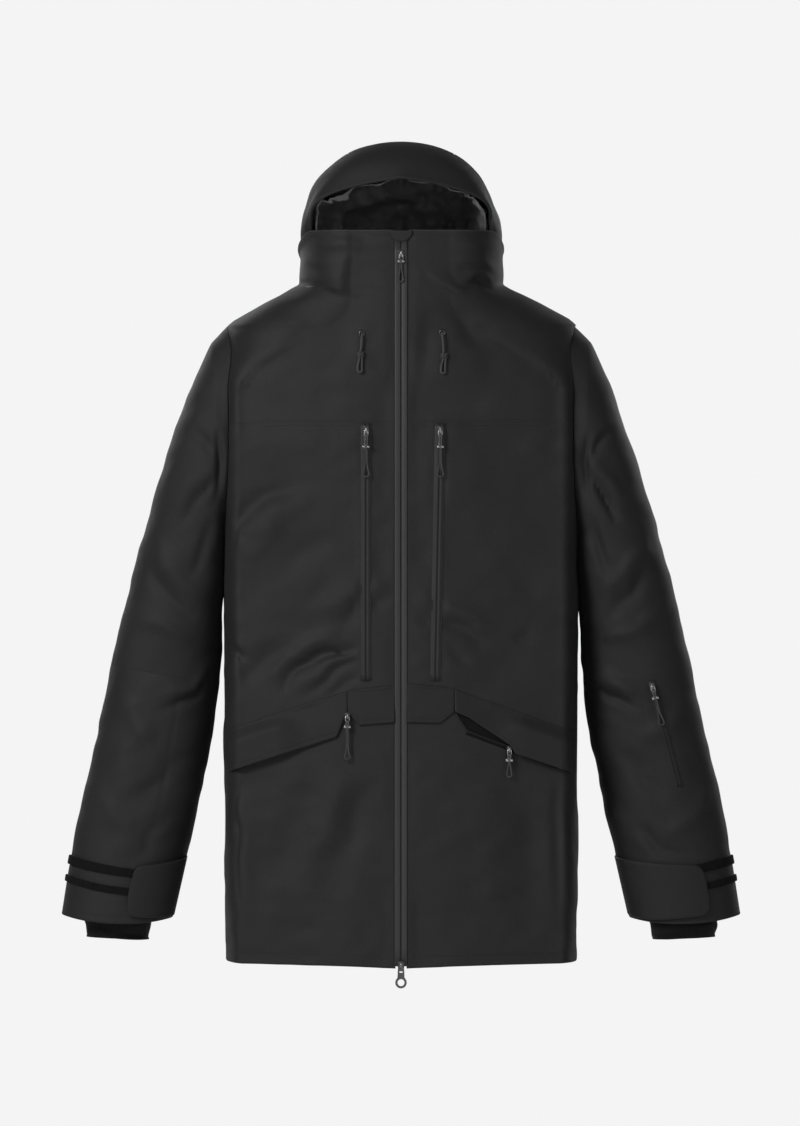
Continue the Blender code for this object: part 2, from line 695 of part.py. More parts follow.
def hang_loop():
    """Webbing loop sewn inside the back of the neck; the jacket hangs on the underside of its top."""
    outer = [(-0.020, -0.020), (0.020, -0.020), (0.020, 0.0016), (-0.020, 0.0016)]
    inner = [(-0.0175, -0.0120), (0.0175, -0.0120), (0.0175, 0.0), (-0.0175, 0.0)]
    frame = Matrix.Translation(LOOP_SEAT)
    plate("hang_loop", [outer, inner], (-0.0025, 0.0025), "trim", frame=frame)


for side, word in ((-1, "right"), (1, "left")):
    front_piece(f"front_panel_{word}", side, 0.0, YOKE_SEAM - GAP)
    front_piece(f"front_yoke_{word}", side, YOKE_SEAM + GAP, NECK_SEAM)
    sleeve(side, word)
back_piece("back_panel", 0.0, BACK_YOKE_SEAM - GAP)
back_piece("back_yoke", BACK_YOKE_SEAM + GAP, NECK_SEAM)
body_band("body_lining", 0.012, 0.495, 0.007, 0.0015, 0.02, 24, "lining")
body_band("powder_skirt", 0.130, 0.330, 0.014, 0.0015, 0.05, 20, "lining")
collar()
hood()
main_zip()
chest_zips()
hand_pockets()
sleeve_pocket()
drawcords()
hang_loop()
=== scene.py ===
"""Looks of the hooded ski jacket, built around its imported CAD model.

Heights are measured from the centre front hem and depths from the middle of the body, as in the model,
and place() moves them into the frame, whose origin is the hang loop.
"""

from math import pi, radians, tau

import bmesh
import bpy
import numpy as np
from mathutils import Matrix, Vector
from mathutils.bvhtree import BVHTree


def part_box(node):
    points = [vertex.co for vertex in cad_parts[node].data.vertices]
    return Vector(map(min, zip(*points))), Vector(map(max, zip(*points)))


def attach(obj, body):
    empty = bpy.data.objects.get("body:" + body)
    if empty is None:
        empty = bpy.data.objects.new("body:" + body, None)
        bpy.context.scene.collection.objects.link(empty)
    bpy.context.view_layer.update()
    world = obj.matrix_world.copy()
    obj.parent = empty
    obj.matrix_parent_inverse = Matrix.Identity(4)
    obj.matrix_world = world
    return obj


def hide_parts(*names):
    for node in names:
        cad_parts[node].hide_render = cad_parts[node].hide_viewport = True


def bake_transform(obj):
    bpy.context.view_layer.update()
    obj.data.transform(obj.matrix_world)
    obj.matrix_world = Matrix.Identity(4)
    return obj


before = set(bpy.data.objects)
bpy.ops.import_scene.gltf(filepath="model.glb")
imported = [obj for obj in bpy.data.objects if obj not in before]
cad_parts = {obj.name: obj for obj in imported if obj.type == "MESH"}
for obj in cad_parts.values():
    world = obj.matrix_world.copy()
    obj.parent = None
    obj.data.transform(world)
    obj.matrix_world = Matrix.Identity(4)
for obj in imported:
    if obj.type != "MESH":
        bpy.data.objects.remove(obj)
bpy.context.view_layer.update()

MM = 0.001

# Driving dimensions, in metres, close to the model's.
CLOTH = 0.003
ZIP_EDGE = 0.0066
HEM_RISE = 0.007
YOKE_SEAM = 0.6527
BACK_YOKE_SEAM = 0.620
NECK_SEAM = 0.8125
COLLAR_TOP = 0.8835
COLLAR_BACK = 0.825
NECK_BACK_Y = 0.097
FACE_EDGE_Y = -0.055
FRONT_Y = -0.128
FRONT_LEAN = 0.030
FACET_START = 0.062
FACET_END = 0.190
FACET_SLOPE = 0.15
FACET_SOFTNESS = 0.02
ARMPIT = 0.500
SHOULDER_TIP = 0.770
ARMHOLE_DEPTH = 0.074
ELBOW = 0.6
SLEEVE_ROUND = 2.2
FRONT_Q = 0.12
SIDE_Q = 0.30
HALF_WIDTH = (
    (0.0, 0.2110), (0.35, 0.2130), (0.50, 0.2135), (0.65, 0.2150), (0.74, 0.2140), (0.76, 0.2130),
    (0.770, 0.2095), (0.776, 0.2030), (0.788, 0.1820), (0.80, 0.1610), (0.81, 0.1400), (0.82, 0.1225),
    (0.84, 0.1235), (0.868, 0.1235), (0.90, 0.1200),
)
BACK_DEPTH = (
    (0.0, 0.112), (0.30, 0.108), (0.60, 0.122), (0.70, 0.120), (0.76, 0.108), (0.8125, 0.095), (0.90, 0.099),
)
# Stations down the sleeve: outer edge x, z, inner edge x, z, half depth.
SLEEVE = np.array((
    (0.2125, 0.770, 0.2110, 0.500, 0.080),
    (0.2310, 0.750, 0.2112, 0.488, 0.080),
    (0.251, 0.704, 0.2114, 0.470, 0.079),
    (0.276, 0.632, 0.2128, 0.445, 0.077),
    (0.299, 0.560, 0.2150, 0.418, 0.074),
    (0.325, 0.464, 0.2155, 0.385, 0.070),
    (0.350, 0.361, 0.2185, 0.338, 0.067),
    (0.366, 0.280, 0.2270, 0.272, 0.064),
    (0.385, 0.200, 0.2440, 0.195, 0.061),
    (0.400, 0.120, 0.2615, 0.117, 0.059),
    (0.409, 0.062, 0.2750, 0.058, 0.058),
))
INNER_CUFF = np.array((
    (0.3820, 0.112, 0.2930, 0.106, 0.042),
    (0.3800, 0.058, 0.3000, 0.055, 0.038),
    (0.3775, 0.034, 0.3045, 0.031, 0.032),
))
# Centre-back profile of the hood, from the brim edge over the top to the neck: y, z.
HOOD_TOP = np.array((
    (-0.118, 0.9475), (-0.103, 0.970), (-0.070, 0.987), (-0.020, 0.992), (0.040, 0.985),
    (0.090, 0.965), (0.125, 0.932), (0.138, 0.893), (0.127, 0.855), (0.0985, 0.8268),
))
HOOD_ROUND = 2.2
FACE_CORNER_X = 0.108
BRIM_END = 0.24
CROWN_HALF_ANGLE = radians(30)

FRONT_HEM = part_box("front_panel_left")[0]
ORIGIN = np.array((0.0, FRONT_HEM.y - FRONT_Y, FRONT_HEM.z))


def place(points):
    return np.asarray(points, float) + ORIGIN


# Camera, light and floor.
VIEW_HEIGHT = 1.3512
VIEW_CENTRE = (-0.0012, -0.06, 0.4848)
SENSOR = 36.0
LENS = 400.0
BACKGROUND = 0.905


def aim(obj, target):
    obj.rotation_mode = "QUATERNION"
    obj.rotation_quaternion = (Vector(target) - obj.location).to_track_quat("-Z", "Y")


def add_object(name, data):
    obj = bpy.data.objects.new(name, data)
    bpy.context.scene.collection.objects.link(obj)
    return obj


def add_camera():
    data = bpy.data.cameras.new("camera")
    data.lens, data.sensor_width, data.clip_end = LENS, SENSOR, 200
    obj = add_object("camera", data)
    target = place(VIEW_CENTRE)
    obj.location = target - np.array((0, LENS / SENSOR * VIEW_HEIGHT, 0))
    aim(obj, target)
    bpy.context.scene.camera = obj


# Name, place, width and power of each soft light.
LIGHTS = (
    ("key", (-2.1, -2.7, 1.3), 1.4, 84),
    ("fill", (2.6, -2.6, 0.2), 2.0, 10),
    ("front", (0.2, -3.6, -0.6), 2.6, 14),
    ("back_left", (-1.6, 3.4, 0.9), 2.0, 32),
    ("back_right", (1.9, 3.2, 0.6), 2.0, 24),
)
LIGHT_TARGET = (0, 0, -0.35)
AMBIENT = (0.15, 0.15, 0.155, 1)
FLOOR_REACH, FLOOR_HEIGHT, FLOOR_SHADE = 6.0, -1.6, 0.94


def seen_by_camera(tree, otherwise, seen, output):
    """Camera rays meet one shader and all other rays meet the other."""
    path, mixed = tree.nodes.new("ShaderNodeLightPath"), tree.nodes.new("ShaderNodeMixShader")
    sources = (path.outputs["Is Camera Ray"], otherwise.outputs[0], seen.outputs[0])
    for source, socket in zip((*sources, mixed.outputs[0]), (*mixed.inputs, output)):
        tree.links.new(source, socket)


def add_studio():
    for name, where, size, watts in LIGHTS:
        data = bpy.data.lights.new(name, "AREA")
        data.shape, data.size, data.energy = "DISK", size, watts
        obj = add_object(name, data)
        obj.location, obj.visible_camera = where, False
        aim(obj, LIGHT_TARGET)
    world = bpy.context.scene.world = bpy.data.worlds.new("studio")
    world.use_nodes = True
    tree = world.node_tree
    seen = tree.nodes["Background"]
    seen.inputs["Color"].default_value = (BACKGROUND, BACKGROUND, BACKGROUND, 1)
    seen_by_camera(tree, node(tree, "ShaderNodeBackground", Color=AMBIENT), seen,
                   tree.nodes["World Output"].inputs["Surface"])
    mesh = bpy.data.meshes.new("floor")
    signs = ((-1, -1), (1, -1), (1, 1), (-1, 1))
    corners = [(u * FLOOR_REACH, v * FLOOR_REACH, FLOOR_HEIGHT) for u, v in signs]
    mesh.from_pydata(corners, [], [(0, 1, 2, 3)])
    floor = add_object("floor", mesh)
    pale = bpy.data.materials.new("floor")
    pale.use_nodes = True
    tree = pale.node_tree
    matt = tree.nodes["Principled BSDF"]
    matt.inputs["Base Color"].default_value = (0.82, 0.82, 0.82, 1)
    matt.inputs["Roughness"].default_value = 0.9
    glow = node(tree, "ShaderNodeEmission", Color=(*[BACKGROUND * FLOOR_SHADE] * 3, 1))
    seen_by_camera(tree, matt, glow, tree.nodes["Material Output"].inputs["Surface"])
    mesh.materials.append(pale)
    bpy.context.scene.view_settings.view_transform = "Standard"


# Materials.
def feed(tree, socket, value):
    """Gives an input a plain value or another node's output."""
    if isinstance(value, bpy.types.NodeSocket):
        tree.links.new(value, socket)
    else:
        socket.default_value = value


def node(tree, kind, **inputs):
    made = tree.nodes.new(kind)
    for name, value in inputs.items():
        feed(tree, made.inputs[name.replace("_", " ")], value)
    return made


add_camera()
add_studio()


def wave(tree, source, axis, pitch):
    """Threads along one direction of the cloth, one for each pitch."""
    made = node(tree, "ShaderNodeTexWave", Vector=source, Scale=tau / 20 / pitch, Distortion=0.6, Detail=1.0)
    made.bands_direction = axis
    return made.outputs["Fac"]


def noise_node(tree, source, scale, detail=3.0):
    return node(tree, "ShaderNodeTexNoise", Vector=source, Scale=scale, Detail=detail).outputs["Fac"]


def combine(tree, operation, *values):
    made = tree.nodes.new("ShaderNodeMath")
    made.operation = operation
    for socket, value in zip(made.inputs, values):
        feed(tree, socket, value)
    return made.outputs[0]


def remap(tree, value, low, high, start=0.3, end=0.7):
    made = node(tree, "ShaderNodeMapRange", Value=value, From_Min=start, From_Max=end, To_Min=low, To_Max=high)
    return made.outputs["Result"]


def start_material(name):
    made = bpy.data.materials.new(name)
    made.use_nodes = True
    source = made.node_tree.nodes.new("ShaderNodeTexCoord")
    return made, made.node_tree, source.outputs["UV"], source.outputs["Object"]


def surface(made, grey, factor, spread, roughness, relief, metallic=0.0, specular=0.5, sheen=0.0):
    """A grey that varies round a mean, with a relief of several (height, strength, depth) layers."""
    tree, normal = made.node_tree, None
    colour = tree.nodes.new("ShaderNodeMix")
    colour.data_type = "RGBA"
    feed(tree, colour.inputs[0], factor)
    for socket, share in ((6, 1 - spread), (7, 1 + spread)):
        colour.inputs[socket].default_value = (*[grey * share] * 3, 1)
    for height, strength, depth in relief:
        bump = node(tree, "ShaderNodeBump", Height=height, Strength=strength, Distance=depth)
        if normal:
            tree.links.new(normal, bump.inputs["Normal"])
        normal = bump.outputs["Normal"]
    values = {"Base Color": colour.outputs[2], "Roughness": roughness, "Normal": normal, "Metallic": metallic,
              "Specular IOR Level": specular, "Sheen Weight": sheen, "Sheen Roughness": 0.4}
    for socket, value in values.items():
        feed(tree, tree.nodes["Principled BSDF"].inputs[socket], value)
    return made


def cloth(name, grey, roughness, pitch, relief, specular=0.25, crinkle=0.0, spread=0.2):
    """Woven cloth: crossing threads, fine grain, broad unevenness and, on thin cloth, crinkles."""
    made, tree, uv, solid = start_material(name)
    weave = combine(tree, "MULTIPLY", wave(tree, uv, "X", pitch), wave(tree, uv, "Y", pitch * 0.9))
    grain, broad = noise_node(tree, solid, 420), noise_node(tree, solid, 9)
    shade = combine(tree, "ADD", combine(tree, "MULTIPLY", broad, 0.6), combine(tree, "MULTIPLY", grain, 0.4))
    layers = [(weave, relief, 0.0004), (grain, relief * 0.6, 0.0005)]
    layers.append((noise_node(tree, solid, 38, 4.0), 0.25, 0.0016))
    if crinkle:
        layers.append((noise_node(tree, solid, 110, 5.0), crinkle, 0.002))
    rough = remap(tree, broad, roughness - 0.06, roughness + 0.06)
    return surface(made, grey, remap(tree, shade, 0, 1), spread, rough, layers, specular=specular, sheen=0.02)


def ribbed(name, grey, roughness, axis, pitch, relief):
    """Ribs of a knit, a webbing or a braid, with fuzz."""
    made, tree, uv, solid = start_material(name)
    ribs, other = wave(tree, uv, axis, pitch), wave(tree, uv, "Y" if axis == "X" else "X", pitch * 0.55)
    fuzz = noise_node(tree, solid, 700)
    layers = [(ribs, relief, 0.0006), (other, relief * 0.6, 0.0004), (fuzz, relief, 0.0004)]
    rough = remap(tree, fuzz, roughness - 0.08, roughness + 0.08)
    shade = combine(tree, "MULTIPLY", ribs, fuzz)
    return surface(made, grey, shade, 0.5, rough, layers, specular=0.2, sheen=0.1)


def pile(name, grey):
    """Hook-and-loop tape: a dense random pile."""
    made, tree, _, solid = start_material(name)
    tufts = node(tree, "ShaderNodeTexVoronoi", Vector=solid, Scale=900.0).outputs["Distance"]
    fuzz = noise_node(tree, solid, 260, 5.0)
    return surface(made, grey, fuzz, 0.5, 0.95, [(tufts, 0.9, 0.0008), (fuzz, 0.6, 0.001)], specular=0.10)


def hard(name, grey, roughness, metallic, scuff):
    """Cast metal or moulded rubber: fine grain, scuffs and worn, shinier patches."""
    made, tree, _, solid = start_material(name)
    grain, patches = noise_node(tree, solid, 1600), noise_node(tree, solid, 160, 5.0)
    rough = remap(tree, patches, roughness - 0.1, roughness + 0.12)
    layers = [(grain, 0.15, 0.0002), (patches, 0.12, 0.0006)]
    return surface(made, grey, remap(tree, patches, 0, 1), scuff, rough, layers, metallic=metallic)


# Each look's name, slot and kind of material, and that kind's own values.
RECIPES = (
    ("shell", "shell", cloth, 0.0165, 0.62, 0.0011, 0.35),
    # The brim cloth is a darker, duller copy of the shell: painted shade on the hood's brim.
    ("brim", "shell", cloth, 0.0135, 0.66, 0.0011, 0.3),
    ("flap", "shell", cloth, 0.0150, 0.62, 0.0011, 0.35),
    ("lining", "lining", cloth, 0.024, 0.34, 0.0008, 0.2, 0.7, 0.5),
    # The hood lining's grey is seven times the body lining's: a lit copy of the same cloth, painted highlight on
    # the crumpled lining.
    ("hood_lining", "lining", cloth, 0.17, 0.44, 0.0008, 0.2, 0.5, 0.5),
    # A near-black cloth: painted shade in the pocket openings and on the hand-zip tapes.
    ("mouth", "lining", cloth, 0.010, 0.9, 0.0011, 0.3, 0.05),
    ("knit", "trim", ribbed, 0.010, 0.85, "X", 0.0024, 0.4),
    ("webbing", "trim", ribbed, 0.012, 0.8, "Y", 0.0014, 0.6),
    ("cord", "cord", ribbed, 0.11, 0.6, "Y", 0.0012, 0.8),
    ("thread", "trim", ribbed, 0.013, 0.7, "Y", 0.0004, 0.3),
    ("pile", "trim", pile, 0.008),
    ("tape", "tape", cloth, 0.018, 0.50, 0.0009, 0.12, 0.3, 0.0, 0.1),
    # A lighter copy of the tape: painted sheen on the main zip's lips and a painted highlight line along the
    # collar's top edge.
    ("lip", "tape", cloth, 0.032, 0.50, 0.0009, 0.08, 0.35, 0.0, 0.1),
    ("metal", "metal", hard, 0.10, 0.36, 1.0, 0.35),
    ("alloy", "metal", hard, 0.42, 0.30, 1.0, 0.25),
    ("rubber", "metal", hard, 0.02, 0.42, 0.0, 0.3),
)
LOOKS = {name: make(name, *values) for name, _, make, *values in RECIPES}


# Numbers on arrays.
def smooth_step(lo, hi, v):
    f = np.clip((v - lo) / (hi - lo), 0, 1)
    return f * f * (3 - 2 * f)


def mix(a, b, f):
    return a + (b - a) * f


def read(pairs, v):
    return np.interp(v, [p[0] for p in pairs], [p[1] for p in pairs])


def power(v, exponent):
    return np.sign(v) * np.abs(v) ** exponent


def stack(x, y, z):
    return np.stack(np.broadcast_arrays(x, y, z), -1).astype(float)


def unit(v):
    return v / np.maximum(np.linalg.norm(v, axis=-1, keepdims=True), 1e-9)


def spaced(lo, hi, step):
    return np.linspace(lo, hi, max(2, int(round((hi - lo) / step)) + 1))


def hashed(cell, seed):
    h = (cell[..., 0] * 374761393 + cell[..., 1] * 668265263 + cell[..., 2] * 974634777 + seed * 1274126177)
    h = ((h & 0xFFFFFFFF) ^ ((h & 0xFFFFFFFF) >> 13)) * 1274126177 & 0xFFFFFFFF
    return ((h ^ (h >> 16)) & 0xFFFF) / 0x8000 - 1


def noise(points, size, seed=0):
    """Smooth noise from -1 to 1, with features of about that size; size may differ along x, y and z."""
    q = points / np.array(size, float)
    cell = np.floor(q).astype(np.int64)
    f = q - cell
    f = f * f * (3 - 2 * f)
    total = 0
    for corner in np.ndindex(2, 2, 2):
        weight = np.prod(np.where(np.array(corner), f, 1 - f), axis=-1)
        total = total + weight * hashed(cell + np.array(corner), seed)
    return total


def crumple(points, size, seed=0):
    """Sharp-edged folds of several sizes, as in thin crushed cloth."""
    total = 0
    for k in range(3):
        total = total + (0.4 - np.abs(noise(points, size / 1.9**k, seed + k))) / 1.6**k
    return total


# Grids of points and the closed meshes made of them.
def grid_normals(points, ring, centre):
    """Unit normals of a grid, pointing away from its centre line."""
    wide = np.concatenate([points[:, -1:], points, points[:, :1]], 1) if ring else points
    across = np.gradient(wide, axis=1)
    across = across[:, 1:-1] if ring else across
    made = unit(np.cross(across, np.gradient(points, axis=0)))
    return -made if np.sum(made * (points - centre)) < 0 else made


def relax(points, rounds, ring=False):
    """Evens out a grid; its edges stay."""
    made = points.copy()
    inside = slice(None) if ring else slice(1, -1)
    for _ in range(rounds):
        sides = np.roll(made, 1, 1) + np.roll(made, -1, 1)
        made[1:-1, inside] = ((made[:-2] + made[2:] + sides[1:-1]) / 4)[:, inside]
    return made


def with_margins(points, ring, margin=0.0012):
    """Adds a row or column close to each edge, so that the edge can be rounded."""
    low = points[0] + unit(points[1] - points[0]) * margin
    high = points[-1] + unit(points[-2] - points[-1]) * margin
    made = np.concatenate([points[:1], low[None], points[1:-1], high[None], points[-1:]])
    return made if ring else np.swapaxes(with_margins(np.swapaxes(made, 0, 1), True, margin), 0, 1)


def cumulative(points, axis):
    steps = np.linalg.norm(np.diff(points, axis=axis), axis=-1)
    return np.concatenate([np.zeros_like(np.take(steps, [0], axis)), np.cumsum(steps, axis)], axis)


def link(name, verts, faces, look, uvs=None):
    mesh = bpy.data.meshes.new(name)
    mesh.from_pydata(np.asarray(verts).tolist(), [], [list(map(int, f)) for f in faces])
    bm = bmesh.new()
    bm.from_mesh(mesh)
    bmesh.ops.recalc_face_normals(bm, faces=bm.faces)
    bm.to_mesh(mesh)
    bm.free()
    mesh.polygons.foreach_set("use_smooth", [True] * len(mesh.polygons))
    if uvs is not None:
        layer = mesh.uv_layers.new(name="cloth")
        corner = np.zeros(len(mesh.loops), np.int32)
        mesh.loops.foreach_get("vertex_index", corner)
        layer.data.foreach_set("uv", np.asarray(uvs, np.float32)[corner].ravel())
    obj = add_object(name, mesh)
    mesh.materials.append(LOOKS[look])
    return obj


def quads(index, ring):
    """Faces of a grid of vertex numbers."""
    right = np.roll(index, -1, 1) if ring else index[:, 1:]
    left = index if ring else index[:, :-1]
    return np.stack([left[:-1], right[:-1], right[1:], left[1:]], -1).reshape(-1, 4)


def shell(name, points, look, thickness=CLOTH, ring=False, centre=(0, 0, 0.4), tuck=0.0009, first=None,
          last=None):
    """Closed cloth panel: the grid is its outer face, and its edges are rounded by the tuck."""
    outer = with_margins(points, ring)
    up = grid_normals(outer, ring, np.array(centre, float))
    inner = outer - up * thickness
    edge = np.zeros(outer.shape[:2] + (1,))
    if not ring:
        edge[:, [0, -1]] = tuck
    edge[0] = tuck if first is None else first
    edge[-1] = tuck if last is None else last
    outer, inner = outer - up * edge, inner + up * edge
    rows, cols = outer.shape[:2]
    index = np.arange(rows * cols).reshape(rows, cols)
    below = index + rows * cols
    faces = [quads(index, ring), quads(below, ring)]
    for k in (0, -1):
        faces.append(quads(np.stack([index[k], below[k]]), ring))
        if not ring:
            faces.append(quads(np.stack([index[:, k], below[:, k]]), False))
    uv = np.stack([cumulative(outer, 1), cumulative(outer, 0)], -1).reshape(-1, 2)
    verts = place(np.concatenate([outer.reshape(-1, 3), inner.reshape(-1, 3)]))
    obj = link(name, verts, np.concatenate(faces), look, np.concatenate([uv, uv]))
    obj.data.set_sharp_from_angle(angle=radians(62))
    return obj


def bar(name, rings, look):
    """Solid through a row of closed rings of points, with flat ends."""
    rows, cols = rings.shape[:2]
    index = np.arange(rows * cols).reshape(rows, cols)
    faces = list(quads(index, True)) + [index[0], index[-1]]
    loop = np.concatenate([rings, rings[:, :1]], 1)
    uv = np.stack([cumulative(loop, 1)[:, :-1], cumulative(rings, 0)], -1).reshape(-1, 2)
    return link(name, place(rings.reshape(-1, 3)), faces, look, uv)


def smooth_route(points, step):
    """Even points along a smooth curve through a few points."""
    p = np.asarray(points, float)
    ghost = np.concatenate([[2 * p[0] - p[1]], p, [2 * p[-1] - p[-2]]])
    f = np.linspace(0, 1, 24, endpoint=False)[:, None]
    parts = []
    for a, b, c, d in zip(ghost, ghost[1:], ghost[2:], ghost[3:]):
        square, cube = 2 * a - 5 * b + 4 * c - d, 3 * b - a - 3 * c + d
        parts.append(0.5 * (2 * b + (c - a) * f + square * f**2 + cube * f**3))
    fine = np.concatenate([*parts, p[-1:]])
    along = cumulative(fine, 0)
    even = spaced(0, along[-1], step)
    return np.stack([np.interp(even, along, fine[:, k]) for k in range(3)], -1)


def tube_rings(route, radius, sides=10, side_hint=(0, 1, 0)):
    """Rings of points round a route; radius may be one number for each point."""
    ahead = unit(np.gradient(route, axis=0))
    side = unit(np.cross(ahead, np.array(side_hint, float)))
    other = np.cross(ahead, side)
    turn = np.linspace(0, tau, sides, endpoint=False)[None, :, None]
    reach = np.broadcast_to(np.asarray(radius, float), (len(route),))[:, None, None]
    return route[:, None] + reach * (np.cos(turn) * side[:, None] + np.sin(turn) * other[:, None])


def tube(name, route, radius, look, sides=10, side_hint=(0, 1, 0)):
    return bar(name, tube_rings(np.asarray(route, float), radius, sides, side_hint), look)


# Body surface. q is 0 at the centre front, +-0.5 at the sides and +-1 at the centre back.
def front_y(z):
    return FRONT_Y + FRONT_LEAN * z


def section(z):
    f = smooth_step(0.69, 0.80, z)
    return mix(FACET_START, 0.03, f), mix(FACET_END, 0.06, f), mix(2.5, 2.0, f), mix(3.0, 2.0, f)


def softened(v):
    return 0.5 * (v + np.sqrt(v * v + FACET_SOFTNESS**2))


def body_point(q, z, inset=0.0):
    q, z = np.broadcast_arrays(np.asarray(q, float), np.asarray(z, float))
    side, q = np.where(q < 0, -1.0, 1.0), np.abs(q)
    x1, x2, round_front, round_back = section(z)
    w = read(HALF_WIDTH, z) - inset
    near = front_y(z) + inset
    corner_y = near + FACET_SLOPE * (x2 - x1)
    flat_x = np.where(q < FRONT_Q, x1 * q / FRONT_Q, mix(x1, x2, (q - FRONT_Q) / (SIDE_Q - FRONT_Q)))
    flat_y = near + FACET_SLOPE * softened(flat_x - x1)
    a = pi / 2 * np.clip((q - SIDE_Q) / (0.5 - SIDE_Q), 0, 1)
    bend_x = x2 + (w - x2) * np.sin(a) ** (2 / round_front)
    bend_y = corner_y * np.maximum(0, np.cos(a)) ** (2 / round_front)
    b = pi * np.clip(1 - q, 0, 0.5)
    back_x = w * np.sin(b) ** (2 / round_back)
    back_y = (read(BACK_DEPTH, z) - inset) * np.maximum(0, np.cos(b)) ** (2 / round_back)
    x = np.where(q <= SIDE_Q, flat_x, np.where(q <= 0.5, bend_x, back_x))
    y = np.where(q <= SIDE_Q, flat_y, np.where(q <= 0.5, bend_y, back_y))
    return stack(side * x, y, z)


def armhole_half_depth(z):
    middle, reach = (ARMPIT + SHOULDER_TIP) / 2, (SHOULDER_TIP - ARMPIT) / 2
    return ARMHOLE_DEPTH * np.maximum(0, 1 - (np.abs(z - middle) / reach) ** 2.3) ** (1 / 2.3)


def front_edge_q(z):
    x1, x2, round_front, _ = section(z)
    corner_y = np.abs(front_y(z) + FACET_SLOPE * (x2 - x1))
    a = np.arccos((armhole_half_depth(z) / corner_y) ** (round_front / 2))
    return mix(SIDE_Q, 0.5, a / (pi / 2))


def back_edge_q(z):
    round_back = section(z)[3]
    b = np.arccos((armhole_half_depth(z) / read(BACK_DEPTH, z)) ** (round_back / 2))
    return 1 - 0.5 * b / (pi / 2)


def cut_height(y):
    """Height of the seam between collar and hood."""
    f = np.maximum(0, (y - FACE_EDGE_Y) / (NECK_BACK_Y - FACE_EDGE_Y))
    return mix(COLLAR_TOP, COLLAR_BACK, f)


# Folds, as soft ridges and valleys seen from the front or the back.
def ridge(x, z, route, width, height, sharp=1.0):
    """A ridge along a route of (x, z) points, fading at its ends and steeper on its right if sharp is above 1."""
    lengths = np.linalg.norm(np.diff(route, axis=0), axis=1)
    total, done = lengths.sum(), 0.0
    nearest = np.full(np.shape(x), 1e9)
    signed, along = np.zeros_like(nearest), np.zeros_like(nearest)
    for a, b, length in zip(route, route[1:], lengths):
        d = (b - a) / length
        t = np.clip((x - a[0]) * d[0] + (z - a[1]) * d[1], 0, length)
        off_x, off_z = x - a[0] - t * d[0], z - a[1] - t * d[1]
        far = np.hypot(off_x, off_z)
        better = far < nearest
        nearest = np.where(better, far, nearest)
        signed = np.where(better, np.sign(d[0] * off_z - d[1] * off_x), signed)
        along = np.where(better, (done + t) / total, along)
        done += length
    reach = np.where(signed > 0, width, width / sharp)
    return height * np.exp(-((nearest / reach) ** 2)) * np.sin(pi * np.clip(along, 0.02, 0.98)) ** 0.7


# Each fold is its width, height, steepness and route of (x, z) points, in millimetres, read off the photograph.
FRONT_FOLDS = (
    # chest and waist, wearer's right
    (11, -5, 1, (-202, 491), (-189, 535), (-165, 569), (-128, 583)),
    (16, 4, 1, (-190, 480), (-172, 520), (-145, 550), (-105, 570)),
    (6, -5, 1.6, (-145, 326), (-108, 370), (-52, 388)),
    (4.5, -3.6, 1.4, (-118, 322), (-80, 359), (-50, 373)),
    (4.5, -3, 1.4, (-92, 322), (-67, 342), (-48, 350)),
    (10, 4, 1, (-160, 345), (-120, 384), (-70, 402)),
    (5, 3, 1, (-130, 325), (-94, 364), (-50, 380)),
    (8.5, -3.6, 1, (-77, 407), (-53, 434), (-10, 444)),
    (11, 3, 1, (-95, 425), (-60, 452), (-12, 462)),
    (5, -6, 1, (-213, 387), (-200, 378), (-186, 371)),
    (14, -4.5, 1, (-192, 346), (-168, 366), (-141, 380)),
    (16, -2.2, 1, (-150, 470), (-120, 500), (-80, 510)),
    (10, -2, 1, (-120, 430), (-100, 455), (-75, 468)),
    # waist, wearer's left
    (8, -3.4, 1, (16, 424), (45, 414), (78, 407), (109, 383)),
    (11, 2.8, 1, (12, 440), (45, 432), (85, 422), (125, 395)),
    (7, -2.2, 1, (51, 390), (82, 359)),
    (8, -1.8, 1, (130, 392), (165, 400)),
    (20, -2.2, 1, (120, 500), (155, 460), (190, 400)),
    # shoulders and neck
    (10, 1.8, 1, (-45, 800), (-50, 740), (-30, 690)),
    (11, -2, 1, (40, 790), (34, 740), (20, 690)),
    (10, -2.8, 1, (62, 790), (80, 760), (105, 745)),
    (12, -2.2, 1, (-95, 800), (-110, 770), (-140, 745)),
    (16, -2.2, 1, (-175, 735), (-185, 690), (-180, 620)),
    (14, -2.2, 1, (185, 735), (190, 690), (180, 600)),
    # skirt of the jacket
    (18, 3.6, 1, (-61, 250), (-90, 170), (-125, 100)),
    (16, -3, 1, (-40, 235), (-64, 160), (-85, 80)),
    (18, -2.8, 1, (-100, 240), (-130, 170), (-160, 90)),
    (4.5, -3, 1, (-196, 236), (-198, 150), (-192, 70)),
    (10, 2.2, 1, (-186, 210), (-186, 110), (-180, 30)),
    (6, -3, 1, (191, 226), (188, 150), (192, 70)),
    (22, 2.6, 1, (90, 240), (110, 150), (105, 60)),
    (18, -2.6, 1, (150, 220), (158, 120), (150, 30)),
    (16, 2.4, 1, (-150, 110), (-155, 50), (-150, 5)),
)
